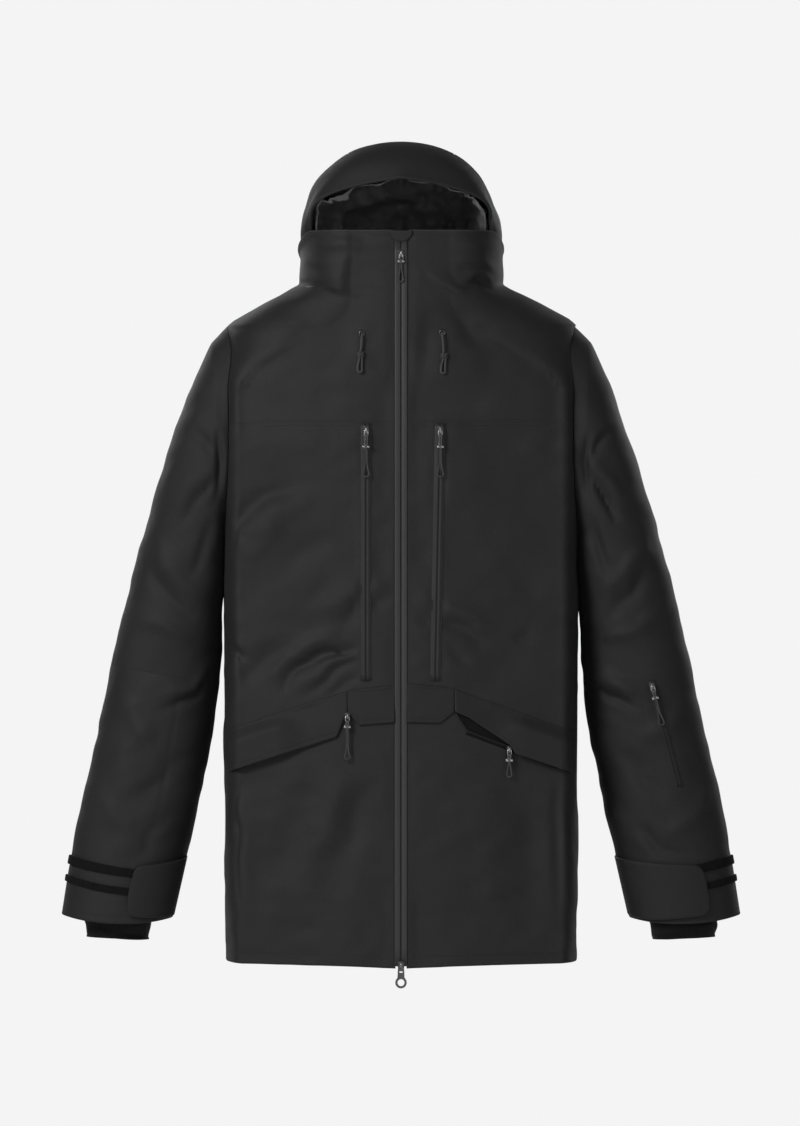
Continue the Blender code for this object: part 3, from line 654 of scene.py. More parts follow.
CHEEK_FOLDS = (
    # ledges where the hood's weight folds the collar over, and the creases under them
    (5.2, -1.9, 1, (-124, 822), (-100, 818), (-66, 808)),
    (6, -1.7, 1, (-64, 806), (-66, 826), (-76, 846)),
    (4.2, -3, 1, (78, 817), (94, 826), (106, 817), (124, 821)),
    (3.4, -2.6, 1, (58, 836), (66, 822), (84, 815)),
    (2.8, -2.4, 1, (70, 846), (90, 840), (110, 836)),
    (18, 6, 7, (-126, 825), (-100, 821), (-67, 812)),
    (16, 4.5, 6, (-67, 810), (-66, 828), (-65, 850)),
    (14, 2.6, 3, (-112, 868), (-85, 864), (-45, 858)),
    (10, 2.2, 3, (-118, 846), (-100, 842), (-80, 843)),
    (15, 6, 7, (80, 822), (94, 831), (106, 822), (124, 826)),
    (12, 3.6, 5, (68, 852), (90, 846), (112, 842)),
    (14, 3, 4, (34, 840), (48, 822), (78, 804)),
    (10, 2.2, 3, (72, 872), (95, 862), (116, 862)),
)
SEAMS = (
    # waist seam, collar seam and the welts beside them
    (1, -0.9, 1, (-83, 398.5), (-50, 398.5)),
    (1, -0.6, 1, (-34, 398.5), (-10, 398.5)),
    (1, -0.9, 1, (50, 398.5), (95, 398)),
    (1.2, -0.9, 1, (-36, 751.5), (-8, 752.5)),
    (1.2, -0.7, 1, (8, 752.5), (30, 751.5)),
)


def total_folds(x, z, folds):
    made = np.zeros(np.shape(x))
    for width, height, sharp, *route in folds:
        width, height, route = width * MM, height * MM, np.array(route) * MM
        if route[:, 1].max() + 3 * width >= z.min() and route[:, 1].min() - 3 * width <= z.max():
            made = made + ridge(x, z, route, width, height, sharp)
    return made


def calm_near_zips(x, z):
    """Folds die out at the zips and under the pocket flaps, where the cloth is sewn flat."""
    main = smooth_step(0.007, 0.022, np.abs(x))
    chest = 1.0
    for centre in (-0.0417, 0.0442):
        beside = smooth_step(0.006, 0.014, np.abs(x - centre))
        chest = chest * np.where((z > 0.335) & (z < 0.66), 0.25 + 0.75 * beside, 1)
    pocket_line = 0.338 - 0.34 * np.maximum(0, np.abs(x) - 0.06)
    pocket = 1 - smooth_step(0.0, 0.012, pocket_line - z) * smooth_step(0.075, 0.063, pocket_line - z)
    return main * chest * pocket


FOLD_GAIN = 1.25
CHEEK_GAIN = 1.25
FOLD_WANDER, WANDER_SIZE = 0.006, 0.032


def wander(values, points, seed):
    """Moves the places where folds are looked up, so that their routes wander."""
    return values + FOLD_WANDER * noise(points, WANDER_SIZE, seed)


def body_displacement(points, up):
    """How far the body cloth stands out from its plain surface: folds in front and behind, and fine waves."""
    x, z = points[..., 0], points[..., 2]
    ahead, behind = np.clip(-up[..., 1], 0, 1), np.clip(up[..., 1], 0, 1)
    bent = wander(x, points, 91), wander(z, points, 92)
    front = FOLD_GAIN * total_folds(*bent, FRONT_FOLDS) + CHEEK_GAIN * total_folds(*bent, CHEEK_FOLDS)
    waves = 0.0026 * noise(points, (0.06, 0.08, 0.045), 3) + 0.0009 * noise(points, (0.022, 0.04, 0.016), 5)
    made = (front + waves) * calm_near_zips(x, z) * ahead + total_folds(x, z, SEAMS) * ahead
    drape = 0.0030 * noise(points, (0.07, 0.3, 0.16), 11) + 0.0022 * noise(points, (0.11, 0.2, 0.045), 13)
    return made + behind * drape + (1 - ahead) * (1 - behind) * waves


def body_normal(q, z):
    """Outward normal of the plain body surface, the same for every piece at a shared edge."""
    step = 1e-4
    across = body_point(q + step, z) - body_point(q - step, z)
    made = unit(np.cross(across, body_point(q, z + step) - body_point(q, z - step)))
    return np.where(np.sum(made * (body_point(q, z) - BODY_CENTRE), -1, keepdims=True) < 0, -made, made)


def fade_at_edges(amount, points, reach=0.006, sides=(True, True)):
    """Keeps a grid's row edges, and its column edges where told, at zero so that neighbours still meet."""
    made = amount.copy()
    for axis, kept in ((0, sides[0]), (1, sides[1])):
        if kept:
            done = cumulative(points, axis)
            left = np.take(done, [-1], axis) - done
            made = made * smooth_step(0, reach, done) * smooth_step(0, reach, left)
    return made


def hem_height(q, z):
    return z + HEM_RISE * np.sin(pi * np.abs(q)) * np.maximum(0, 1 - z / 0.10)


STEP = 0.0034


def rows_through(low, marks, high):
    """Heights from low to high, with one exactly at each mark."""
    stops = [low, *marks, high]
    parts = [spaced(a, b, STEP)[:-1] for a, b in zip(stops, stops[1:])]
    return np.concatenate([*parts, [high]])


def finish_piece(obj, body, *replaced):
    """Rides on a body and stands for the CAD nodes named."""
    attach(obj, body)
    if replaced:
        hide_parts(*replaced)
    return obj


SEAM = 0.0003
STITCH_PITCH = 0.0034
STITCH_LENGTH = 0.0025
STITCH_RADIUS = 0.00028


def stitches(name, line, normals, body, closed=False):
    """A row of thread stitches lying on the cloth, each a little spindle."""
    line, normals = np.asarray(line, float), np.asarray(normals, float)
    if closed:
        line, normals = np.concatenate([line, line[:1]]), np.concatenate([normals, normals[:1]])
    done = cumulative(line, 0)
    starts = np.arange(0, done[-1] - STITCH_LENGTH, STITCH_PITCH)

    def at(values, where):
        return np.stack([np.interp(where, done, values[:, k]) for k in range(3)], -1)
    up = unit(at(normals, starts + STITCH_LENGTH / 2))
    ahead = unit(at(line, starts + STITCH_LENGTH) - at(line, starts))
    side = np.cross(ahead, up)
    verts, faces = [], []
    for share, radius in ((0.0, 0.3), (0.25, 1.0), (0.75, 1.0), (1.0, 0.3)):
        middle = at(line, starts + share * STITCH_LENGTH) - up * STITCH_RADIUS * (1 - radius)
        for turn in np.arange(4) * pi / 2:
            verts.append(middle + radius * STITCH_RADIUS * (side * np.cos(turn) + up * np.sin(turn)))
    verts = np.stack(verts, 1)
    corner = np.arange(16).reshape(4, 4)
    pattern = [*quads(corner, True), corner[0], corner[-1]]
    for k in range(len(starts)):
        faces += [f + 16 * k for f in pattern]
    obj = link(name, place(verts.reshape(-1, 3)), faces, "thread", np.zeros((verts.shape[0] * 16, 2)))
    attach(obj, body)
    return obj


def padded_panel(node_name, points, **facts):
    obj = shell(f"{node_name}_cloth", points, "shell", **facts)
    finish_piece(obj, "jacket", node_name)


BODY_CENTRE = np.array((0, 0, 0.4))


def front_panels(side, word):
    rows = rows_through(0.0, (ARMPIT, YOKE_SEAM, SHOULDER_TIP), NECK_SEAM)
    start = (FRONT_Q * ZIP_EDGE / section(rows)[0])[:, None]
    q = mix(start, front_edge_q(rows)[:, None], np.linspace(0, 1, 76))
    z = hem_height(q, rows[:, None])
    points, up = body_point(q, z), body_normal(q, z) * (side, 1, 1)
    points[..., 0] *= side
    points[:, 0, 0] = side * ZIP_EDGE
    amount = fade_at_edges(body_displacement(points, up), points, sides=(False, True))
    points = points + up * amount[..., None]
    cut = int(np.argmin(np.abs(rows - YOKE_SEAM)))
    padded_panel(f"front_panel_{word}", points[: cut + 1], tuck=0.0005, last=SEAM)
    padded_panel(f"front_yoke_{word}", points[cut:], tuck=0.0005, first=SEAM, last=0)
    for name, row in (("hem", 4), ("yoke_low", cut - 1), ("yoke_high", cut + 1)):
        stitches(f"{name}_stitches_{word}", points[row, 2:-2], up[row, 2:-2], "jacket")


def back_panels():
    rows = rows_through(0.0, (ARMPIT, BACK_YOKE_SEAM, SHOULDER_TIP), NECK_SEAM)
    f = np.linspace(-1, 1, 141)
    q = mix(1.0, back_edge_q(rows)[:, None], np.abs(f)) * np.where(f < 0, -1, 1)
    points = relax(body_point(q, hem_height(q, rows[:, None])), 6)
    up = grid_normals(points, False, BODY_CENTRE)
    amount = fade_at_edges(body_displacement(points, up), points, sides=(False, True))
    points = points + up * amount[..., None]
    cut = int(np.argmin(np.abs(rows - BACK_YOKE_SEAM)))
    padded_panel("back_panel", points[: cut + 1])
    padded_panel("back_yoke", points[cut:])


def wrap_q(f, start):
    """Runs from the left front edge round the back to the right front edge."""
    q = mix(start, 2 - start, f)
    return np.where(q <= 1, q, q - 2)


def collar_points(inset=0.0, rows=24, columns=190):
    """The stand collar's grid, and the q of its columns."""
    q = wrap_q(np.linspace(0, 1, columns), FRONT_Q * ZIP_EDGE / 0.03)[None, :]
    t = np.linspace(0, 1, rows)[:, None]
    z = np.full((rows, columns), NECK_SEAM)
    for _ in range(4):
        z = mix(NECK_SEAM, cut_height(body_point(q, z)[..., 1]), t)
    points = body_point(q, z, inset)
    points[:, 0, 0], points[:, -1, 0] = ZIP_EDGE, -ZIP_EDGE
    return points, q


FACING_GAP = 0.0004


def collar():
    points, q = collar_points()
    centre = (0, 0, 0.84)
    up = body_normal(np.abs(q), points[..., 2]) * stack(np.where(q < 0, -1, 1), 1, 1)
    amount = body_displacement(points, up)
    top = smooth_step(0, 0.012, cut_height(points[..., 1]) - points[..., 2])
    amount = amount * top * smooth_step(0, 0.004, np.abs(points[..., 0]) - ZIP_EDGE + 1e-6)
    points = points + up * amount[..., None]
    padded_panel("collar", points, centre=centre, first=0)
    line, normal = points[-3, 3:66], up[-3, 3:66]
    stitches("collar_stitches_left", line, normal, "jacket")
    stitches("collar_stitches_right", line * (-1, 1, 1), normal * (-1, 1, 1), "jacket")
    # A thin tube of the lighter lip cloth along each side of the collar's top edge: a painted highlight line.
    for side, word in ((1, "left"), (-1, "right")):
        edge = points[-1, 1:66] if side > 0 else points[-1, -66:-1]
        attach(tube(f"collar_painted_highlight_{word}", edge + (0, 0.0004, -0.0006), 0.0009, "lip", 8), "jacket")
    facing = collar_points(CLOTH + FACING_GAP, 10, 120)[0]
    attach(shell("collar_facing", facing, "lining", 0.0012, centre=centre), "jacket")


# Hood surface. s runs from the brim edge (0) to the back of the neck (1), psi from side to side.
def along(points, s):
    k = np.clip(s * (len(points) - 1), 0, len(points) - 1.0001)
    i = k.astype(int)
    f = (k - i)[..., None]
    last = len(points) - 1
    a, b, c, d = (points[np.clip(i + n, 0, last)] for n in (-1, 0, 1, 2))
    return 0.5 * (2 * b + (c - a) * f + (2 * a - 5 * b + 4 * c - d) * f**2 + (3 * b - a - 3 * c + d) * f**3)


def face_corner_q():
    q = np.linspace(SIDE_Q, 0.5, 400)
    return float(np.interp(FACE_CORNER_X, body_point(q, COLLAR_TOP)[:, 0], q))


NECK_SIDE_Q = 0.62


def hood_point(s, psi, inset=0.0):
    s, psi = np.broadcast_arrays(np.asarray(s, float), np.asarray(psi, float))
    q = mix(face_corner_q(), NECK_SIDE_Q, s)
    base = body_point(q, COLLAR_TOP)
    base[..., 2] = cut_height(base[..., 1])
    top = along(HOOD_TOP, s)
    top = stack(0.0, top[..., 0], top[..., 1])
    top = top + unit(np.array((0, 0.01, 0.86)) - top) * inset
    exponent = 2 / mix(HOOD_ROUND, 2.0, smooth_step(0.6, 1.0, s))
    rise = np.maximum(0, np.cos(psi)) ** exponent
    across = power(np.sin(psi), exponent)
    near_face = smooth_step(0.16, 0.0, s)
    flat_across = power(np.sin(psi), 0.9)
    flat_rise = np.maximum(0, np.cos(psi)) ** 0.38 * (1 - 0.22 * np.abs(flat_across))
    rise, across = mix(rise, flat_rise, near_face), mix(across, flat_across, near_face)
    x = (base[..., 0] - inset) * across
    made = stack(x, mix(base[..., 1], top[..., 1], rise), mix(base[..., 2], top[..., 2], rise))
    neck_q = mix(1.0, q, np.abs(psi) / (pi / 2))
    neck = body_point(neck_q * np.where(psi < 0, -1, 1), COLLAR_BACK, inset)
    neck[..., 2] = cut_height(neck[..., 1])
    return mix(made, neck, smooth_step(0.82, 1.0, s)[..., None])


HOOD_CENTRE = np.array((0, 0.01, 0.87))


def blend_hood(obj, *replaced):
    """Bakes the hood piece's placement into its mesh and stands for the CAD nodes named."""
    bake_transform(obj)
    if replaced:
        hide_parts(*replaced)
    return obj


def hood_folds(points):
    """Soft dents at the sides and back of the hood; the brim stays smooth."""
    side = smooth_step(0.07, 0.11, np.abs(points[..., 0]))
    back = smooth_step(0.02, 0.09, points[..., 1])
    calm = smooth_step(-0.115, -0.03, points[..., 1])
    broad = 0.0034 * noise(points, (0.05, 0.06, 0.04), 21) + 0.0014 * noise(points, (0.02, 0.025, 0.018), 22)
    return broad * np.maximum(side * 0.8, back) * calm + 0.0006 * noise(points, 0.03, 23) * calm


def hood():
    s, psi = np.linspace(0, 1, 118), np.linspace(-pi / 2, pi / 2, 133)
    points = relax(hood_point(s[:, None], psi[None, :]), 5)
    up = grid_normals(points, False, HOOD_CENTRE)
    points = points + up * fade_at_edges(hood_folds(points), points, 0.012)[..., None]
    brim = int(np.argmin(np.abs(s - BRIM_END)))
    left = int(np.argmin(np.abs(psi - CROWN_HALF_ANGLE)))
    right = int(np.argmin(np.abs(psi + CROWN_HALF_ANGLE)))
    cuts = {
        # The brim panel takes the darker brim cloth, painted shade.
        "hood_brim": (slice(0, brim + 1), slice(None), "brim"),
        "hood_centre": (slice(brim, None), slice(right, left + 1), "shell"),
        "hood_side_left": (slice(brim, None), slice(left, None), "shell"),
        "hood_side_right": (slice(brim, None), slice(0, right + 1), "shell"),
    }
    for name, (rows, columns, look) in cuts.items():
        obj = shell(f"{name}_cloth", points[rows, columns], look, centre=HOOD_CENTRE, tuck=0.0006)
        blend_hood(obj, name)
    edge = points[0] + np.array((0, 0.0016, -0.0012))
    blend_hood(tube("hood_binding", edge[2:-2], 0.0021, "shell", 8))
    hood_lining()


def hood_lining():
    s, psi = np.linspace(0.020, 0.985, 120), np.linspace(-pi / 2, pi / 2, 150)
    near, far = (hood_point(s[:, None], psi[None, :], inset) for inset in (0.0078, 0.0098))
    points = mix(near, far, smooth_step(0.02, 0.12, s)[:, None, None])
    up = grid_normals(points, False, HOOD_CENTRE)
    crushed = 0.016 * crumple(points, np.array((0.050, 0.080, 0.045)), 31)
    along_edge = stack(psi[None, :] * 0.10, 0, s[:, None] * 0.05)
    gathers = 0.45 - np.abs(noise(along_edge, (0.017, 1, 0.03), 39))
    crushed = crushed + 0.022 * gathers * smooth_step(0.5, 0.1, s)[:, None]
    keep = smooth_step(0, 0.05, s)[:, None] * smooth_step(1.0, 0.9, s)[:, None]
    side = smooth_step(pi / 2, pi / 2 - 0.25, np.abs(psi))[None, :]
    points = points - up * (np.clip(crushed + 0.002, -0.003, 0.022) * keep * side)[..., None]
    # The lining takes the much lighter hood_lining cloth, painted highlight on its crumples.
    obj = shell("hood_lining_cloth", points, "hood_lining", 0.0012, centre=HOOD_CENTRE, tuck=0.0003)
    blend_hood(obj, "hood_lining")


# Sleeves. t runs from the armhole (0) to the cuff (1), a is 0 at the front and 90 degrees at the outer edge.
def station(table, t):
    k = np.clip(t, 0, 1) * (len(table) - 1)
    return [np.interp(k, np.arange(len(table)), table[:, n]) for n in range(5)]


def tube_point(table, side, t, a, lift=0.0):
    t, a = np.broadcast_arrays(np.asarray(t, float), np.asarray(a, float))
    ox, oz, ix, iz, depth = station(table, t)
    half_x, half_z = (ox - ix) / 2, (oz - iz) / 2
    length = np.hypot(half_x, half_z)
    reach = (length + lift) / length * power(np.sin(a), 2 / SLEEVE_ROUND)
    y = -(depth + lift) * power(np.cos(a), 2 / SLEEVE_ROUND)
    return stack(side * ((ox + ix) / 2 + half_x * reach), y, (oz + iz) / 2 + half_z * reach)


def armhole_point(side, a):
    """Point of the body's armhole edge that a sleeve's first ring joins."""
    middle, reach = (ARMPIT + SHOULDER_TIP) / 2, (SHOULDER_TIP - ARMPIT) / 2
    z = middle + reach * power(np.sin(a), 2 / SLEEVE_ROUND)
    q = np.where(np.cos(a) > 0, front_edge_q(z), back_edge_q(z))
    made = body_point(q, z)
    made[..., 0] *= side
    return made


HEAD_LENGTH = 0.26
CUFF_DIP = 0.0085


def sleeve_point(side, t, a, lift=0.0):
    made = tube_point(SLEEVE, side, t, a, lift)
    made[..., 2] -= CUFF_DIP * np.cos(a) ** 2 * smooth_step(0.80, 1.0, np.asarray(t, float))
    head = armhole_point(side, np.asarray(a, float)) - tube_point(SLEEVE, side, 0.0, a)
    return made + head * ((1 - np.clip(np.asarray(t, float) / HEAD_LENGTH, 0, 1)) ** 2)[..., None]


SLEEVE_FOLDS = (
    # armpit and upper arm; x is measured outwards
    (5, -6, 1, (221, 640), (216, 603), (222, 560)),
    (7, -5, 1, (224, 613), (240, 632), (262, 648)),
    (6, -5, 1.3, (222, 590), (242, 565), (262, 530)),
    (10, 4, 1, (220, 600), (250, 585), (275, 545)),
    (8, -4, 1, (222, 540), (236, 505), (252, 470)),
    (14, 3, 1, (250, 660), (275, 600), (285, 540)),
    (11, 4, 1.3, (300, 520), (270, 470), (235, 440)),
    (8, -4, 1, (310, 495), (280, 445), (240, 418)),
    (9, 3.4, 1.3, (325, 440), (290, 408), (240, 395)),
    (5.5, -5.5, 1.4, (228, 345), (248, 322), (285, 310)),
    (8, 4.4, 1, (226, 360), (250, 336), (290, 326)),
    (10, 3, 1, (345, 330), (320, 290), (285, 270)),
    (10, -3.4, 1, (262, 260), (290, 225), (325, 205)),
    (11, 3.4, 1, (375, 225), (350, 180), (315, 160)),
    (8, -3.6, 1, (285, 175), (310, 140), (350, 128)),
    (14, 2.6, 1, (300, 300), (330, 255), (345, 200)),
)


def sleeve_displacement(points, up, side, t):
    """Folds in front, looser drag lines behind, and none at the cuff."""
    x, z = np.abs(points[..., 0]), points[..., 2]
    ahead, behind = np.clip(-up[..., 1], 0, 1), np.clip(up[..., 1], 0, 1)
    folds = total_folds(wander(x, points, 93), wander(z, points, 94), SLEEVE_FOLDS) * (1.3 if side > 0 else 1.0)
    slant = np.stack([points[..., 0] - 0.6 * z * side, points[..., 1], points[..., 2] + 0.5 * x], -1)
    seed = 40 if side > 0 else 47
    drag = 0.0030 * noise(slant, (0.09, 0.09, 0.030), seed)
    drag = drag + 0.0016 * noise(slant, (0.05, 0.05, 0.014), seed + 1)
    calm = smooth_step(0.93, 0.84, t) * smooth_step(0, 0.06, t)
    return (folds * ahead + drag * (0.45 + 0.55 * behind)) * calm


# Forearm seams of the right sleeve: one down its front and one across it near the cuff.
SLEEVE_SEAMS = (
    (1.1, -1, 1, (264, 344), (282, 227), (295, 164)),
    (1.1, -0.6, 1, (331, 151.5), (297, 151.5)),
)


def sleeves(side, word):
    steps = 200
    t, a = np.linspace(0, 1, steps + 1), np.linspace(0, tau, 132, endpoint=False)
    points = relax(sleeve_point(side, t[:, None], a[None, :]), 4, ring=True)
    centre = points.mean(axis=1, keepdims=True)
    up = grid_normals(points, True, centre)
    amount = sleeve_displacement(points, up, side, t[:, None])
    if side < 0:
        lines = total_folds(np.abs(points[..., 0]), points[..., 2], SLEEVE_SEAMS)
        amount = amount + lines * np.clip(-up[..., 1], 0, 1)
    points = points + up * amount[..., None]
    cut = int(round(ELBOW * steps))
    seam = 0.0 if side > 0 else 0.0002
    parts = (("sleeve", slice(0, cut + 1), {"last": seam}), ("forearm", slice(cut, None), {"first": seam}))
    upper, lower = (
        shell(f"{name}_{word}_cloth", points[rows], "shell", ring=True, centre=centre_of(points[rows]), **edges)
        for name, rows, edges in parts
    )
    stitches(f"cuff_stitches_{word}", points[-4], up[-4], f"forearm_{word}", closed=True)
    # Places of the upper sleeve's rows along the sleeve, with margins.
    rows = with_margins(np.repeat(t[: cut + 1, None, None], 3, 2), True)[:, 0, 0]
    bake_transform(upper)
    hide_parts(f"sleeve_{word}")
    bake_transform(lower)
    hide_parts(f"forearm_{word}")


def centre_of(points):
    return points.reshape(-1, 3).mean(axis=0)


# The finished cloth, seen from one side, so that sewn pieces lie on it.
def caster(names):
    """A function from arrays of x and z to the depth of the cloth, or of the plain front if there is none."""
    verts, faces = [], []
    for name in names:
        mesh = bpy.data.objects[name].data
        base = len(verts)
        verts += [tuple(v.co) for v in mesh.vertices]
        faces += [[base + k for k in p.vertices] for p in mesh.polygons]
    tree = BVHTree.FromPolygons(verts, faces)

    def depth(x, z):
        x, z = np.broadcast_arrays(np.asarray(x, float), np.asarray(z, float))
        made = np.empty(x.shape)
        for k in np.ndindex(x.shape):
            hit = tree.ray_cast(Vector(place((x[k], -1, z[k]))), Vector((0, 1, 0)))[0]
            made[k] = front_y(z[k]) if hit is None else hit.y - ORIGIN[1]
        return made
    return depth


def strip(name, ends, profile, depth, look):
    """Zip tape with one cross-section, (offset, lift) round a loop, between two (x, z) points."""
    line = np.linspace(*np.insert(np.array(ends, float), 1, 0.0, axis=1), 40)
    y = depth(line[:, 0], line[:, 2])
    for _ in range(6):
        y[1:-1] = (y[:-2] + y[1:-1] + y[2:]) / 3
    ahead = unit(np.gradient(line, axis=0))
    across = np.stack([-ahead[:, 2], 0 * ahead[:, 0], ahead[:, 0]], -1)
    line[:, 1] = y
    offset, lift = np.array(profile, float).T
    rings = line[:, None] + across[:, None] * offset[None, :, None]
    rings[..., 1] -= lift[None]
    return bar(name, rings, look)


def mirrored(profile):
    return profile + [(-u, v) for u, v in reversed(profile)]


def coated_tape(half):
    """Two coated lips that meet in a groove, on a flat tape."""
    lip = half * 0.62
    right = [(0.0001, 0.0004), (0.0006, 0.0014), (lip * 0.6, 0.0017), (lip, 0.0012), (lip + 0.0005, 0.0005)]
    right += [(half - 0.0004, 0.0006), (half, 0.0001), (half, -0.0010)]
    return mirrored(right)


def hidden_tape(side):
    """The upper part of a zip whose lower part lies under the pocket's welt."""
    loop = [(-0.0010, 0.0003), (0.0008, 0.0016), (0.0030, 0.0016), (0.0056, 0.0010)]
    loop += [(0.0056, -0.0010), (-0.0010, -0.0010)]
    return [(-side * u, v) for u, v in loop]


def half_lip(side):
    """One side of the main zip: the folded, coated edge that hides the coil."""
    loop = [(0.0001, -0.0008), (0.0004, 0.0006), (0.0014, 0.0012), (0.0058, 0.0012), (0.0073, 0.0010)]
    loop += [(0.0078, 0.0003), (0.0066, 0.0001), (0.0064, -0.0029), (0.0001, -0.0029)]
    return [(-side * u, v) for u, v in loop]


# Sliders and pulls, in a plane of their own: u to the right, w up and d outwards from the hinge or base.
def set_down(points, origin, tilt):
    u, w, d = np.asarray(points, float).T
    c, s = np.cos(tilt), np.sin(tilt)
    return np.stack([origin[0] + u * c + w * s, origin[1] - d, origin[2] - u * s + w * c], -1)


def rounded_solid(name, outline, low, high, edge, look, origin, tilt=0.0):
    """Outline of (u, w) points made solid between two heights, with its outer edge rounded."""
    bm = bmesh.new()
    u, w = np.array(outline, float).T
    verts = [bm.verts.new(p) for p in np.stack([u, w, 0 * u + low], -1)]
    face = bm.faces.new(verts)
    made = bmesh.ops.extrude_face_region(bm, geom=[face])
    top = [v for v in made["geom"] if isinstance(v, bmesh.types.BMVert)]
    for v in top:
        v.co.z = high
    rim = [e for e in bm.edges if all(v in top for v in e.verts)]
    bmesh.ops.bevel(bm, geom=rim, offset=edge, segments=3, profile=0.6, affect="EDGES")
    bmesh.ops.triangulate(bm, faces=bm.faces[:])
    bm.verts.index_update()
    points = place(set_down([v.co[:] for v in bm.verts], origin, tilt))
    faces = [[v.index for v in f.verts] for f in bm.faces]
    bm.free()
    obj = link(name, points, faces, look, points[:, [0, 2]])
    obj.data.set_sharp_from_angle(angle=radians(40))
    return obj


def arc(centre, radius, start, end, steps):
    turn = np.linspace(start, end, steps + 1)
    return [(centre[0] + radius * np.cos(k), centre[1] + radius * np.sin(k)) for k in turn]


def local_tube(name, route, radius, look, origin, tilt, sides=8):
    points = set_down(smooth_route(route, 0.0006), origin, tilt)
    return tube(name, points, radius, look, sides)


SLIDER_HEIGHT = 0.0026
LOW_SLIDER_HEIGHT = 0.0016
BRIDGE_LIFT = 0.0052
PULL_LIFT = 0.0044


def slider(word, origin, size, height, tilt):
    """Zip slider: shouldered body, a metal plate on top and the bridge that holds the pull."""
    w, h = size[0] / 2, size[1] / 2
    right = [(0, h), (w * 0.55, h * 0.97), (w * 0.92, h * 0.72), (w, h * 0.35), (w * 0.86, -h * 0.1)]
    right += [(w * 0.72, -h * 0.55), (w * 0.62, -h * 0.9), (w * 0.35, -h)]
    outline = right + [(-u, v) for u, v in reversed(right[1:])]
    body = rounded_solid(f"{word}_slider_body", outline, 0, height, 0.0007, "rubber", origin, tilt)
    inset = [(u * 0.62, v * 0.74) for u, v in outline]
    plate = rounded_solid(f"{word}_slider_plate", inset, height - 0.0004, height + 0.0003, 0.0002, "metal",
                          origin, tilt)
    route = [(0, h * 0.62, height), (0, h * 0.5, 0.0046), (0, h * 0.1, BRIDGE_LIFT), (0, -h * 0.4, 0.0047),
             (0, -h * 0.62, height)]
    bridge = local_tube(f"{word}_slider_bridge", route, 0.0008, "alloy", origin, tilt)
    for obj in (body, plate, bridge):
        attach(obj, f"{word}_slider")
    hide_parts(f"{word}_slider")


def cord_loop(word, top, length, width, origin, tilt):
    """Cord of a pull: two strands side by side that open into a loop."""
    r, gap, sink = width / 2 - PULL_CORD / 2, PULL_CORD * 0.55, -length + width / 2
    neck = sink + width * 1.5
    route = [(gap, top), (gap, mix(top, neck, 0.6)), (gap * 1.2, neck)]
    route += arc((0, sink), r, 0.15, -pi - 0.15, 8)
    route += [(-gap * 1.2, neck), (-gap, mix(top, neck, 0.6)), (-gap, top)]
    points = set_down(smooth_route([(u, w, 0.0) for u, w in route], 0.0009), origin, tilt)
    obj = tube(f"{word}_pull_cord", points, PULL_CORD / 2, "cord", 8)
    float(cumulative(points, 0)[-1])
    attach(obj, f"{word}_pull")


PULL_CORD = 0.0017
LOBE = 0.0020


def pull(word, hinge, tilt, length, body, width):
    """Pull of a zip: wire fork round the bridge, moulded body with two lobes, cord loop."""
    fork = [(-0.0020, -0.0058, 0), (-0.0022, -0.0020, 0), (-0.0014, 0.0001, 0), (0.0014, 0.0001, 0),
            (0.0022, -0.0020, 0), (0.0020, -0.0058, 0)]
    wire = local_tube(f"{word}_pull_fork", fork, 0.0008, "alloy", hinge, tilt)
    lobes = []
    for side in (-1, 1):
        bend = ((0.0014, 0.0019), (0.0027, 0.0018), (0.0040, 0.0021))
        route = [(side * u, w - body, 0.0004) for u, w in bend]
        lobes.append(local_tube(f"{word}_pull_lobe_{side + 2}", route, LOBE - 0.0001, "alloy", hinge, tilt))
    right = [(0.0, -0.0042), (0.0024, -0.0044), (0.0027, -0.0062)]
    right += [(0.0023, -body * 0.62), (0.0024, -body + 0.0042)]
    right += arc((0.0024, -body + 0.0018), LOBE, pi / 2.4, -pi / 1.6, 7) + [(0, -body - 0.0008)]
    outline = right + [(-u, v) for u, v in reversed(right[1:-1])]
    solid = rounded_solid(f"{word}_pull_body", outline, -0.0011, 0.0012, 0.0007, "metal", hinge, tilt)
    low = 0.0040 - body
    inset = [(-0.0010, -0.0064), (0.0010, -0.0064), (0.0010, low), (-0.0010, low)]
    rib = rounded_solid(f"{word}_pull_rib", inset, 0.0008, 0.0017, 0.0004, "rubber", hinge, tilt)
    for obj in (wire, solid, rib, *lobes):
        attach(obj, f"{word}_pull")
    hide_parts(f"{word}_pull")
    cord_loop(word, -body + 0.0004, length, width, hinge, tilt)


def runner(word, x, z, height, size, pull_size, tilt=0.0):
    """Slider and pull at a place on a zip; pull_size is its length, its body's length and its loop's width."""
    base = np.array((x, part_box(f"{word}_slider")[1].y - ORIGIN[1], z))
    slider(word, base, size, height, tilt)
    if pull_size:
        pull(word, base - np.array((0, PULL_LIFT, 0)), tilt, *pull_size)


MAIN_SLIDER = (0.0095, 0.0125)


def bevelled(node_name, look, width):
    """Keeps a CAD node, with softened edges and a finished surface."""
    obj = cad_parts[node_name]
    obj.data.materials.clear()
    obj.data.materials.append(LOOKS[look])
    soft = obj.modifiers.new("edge", "BEVEL")
    soft.width, soft.segments, soft.limit_method = width, 2, "ANGLE"


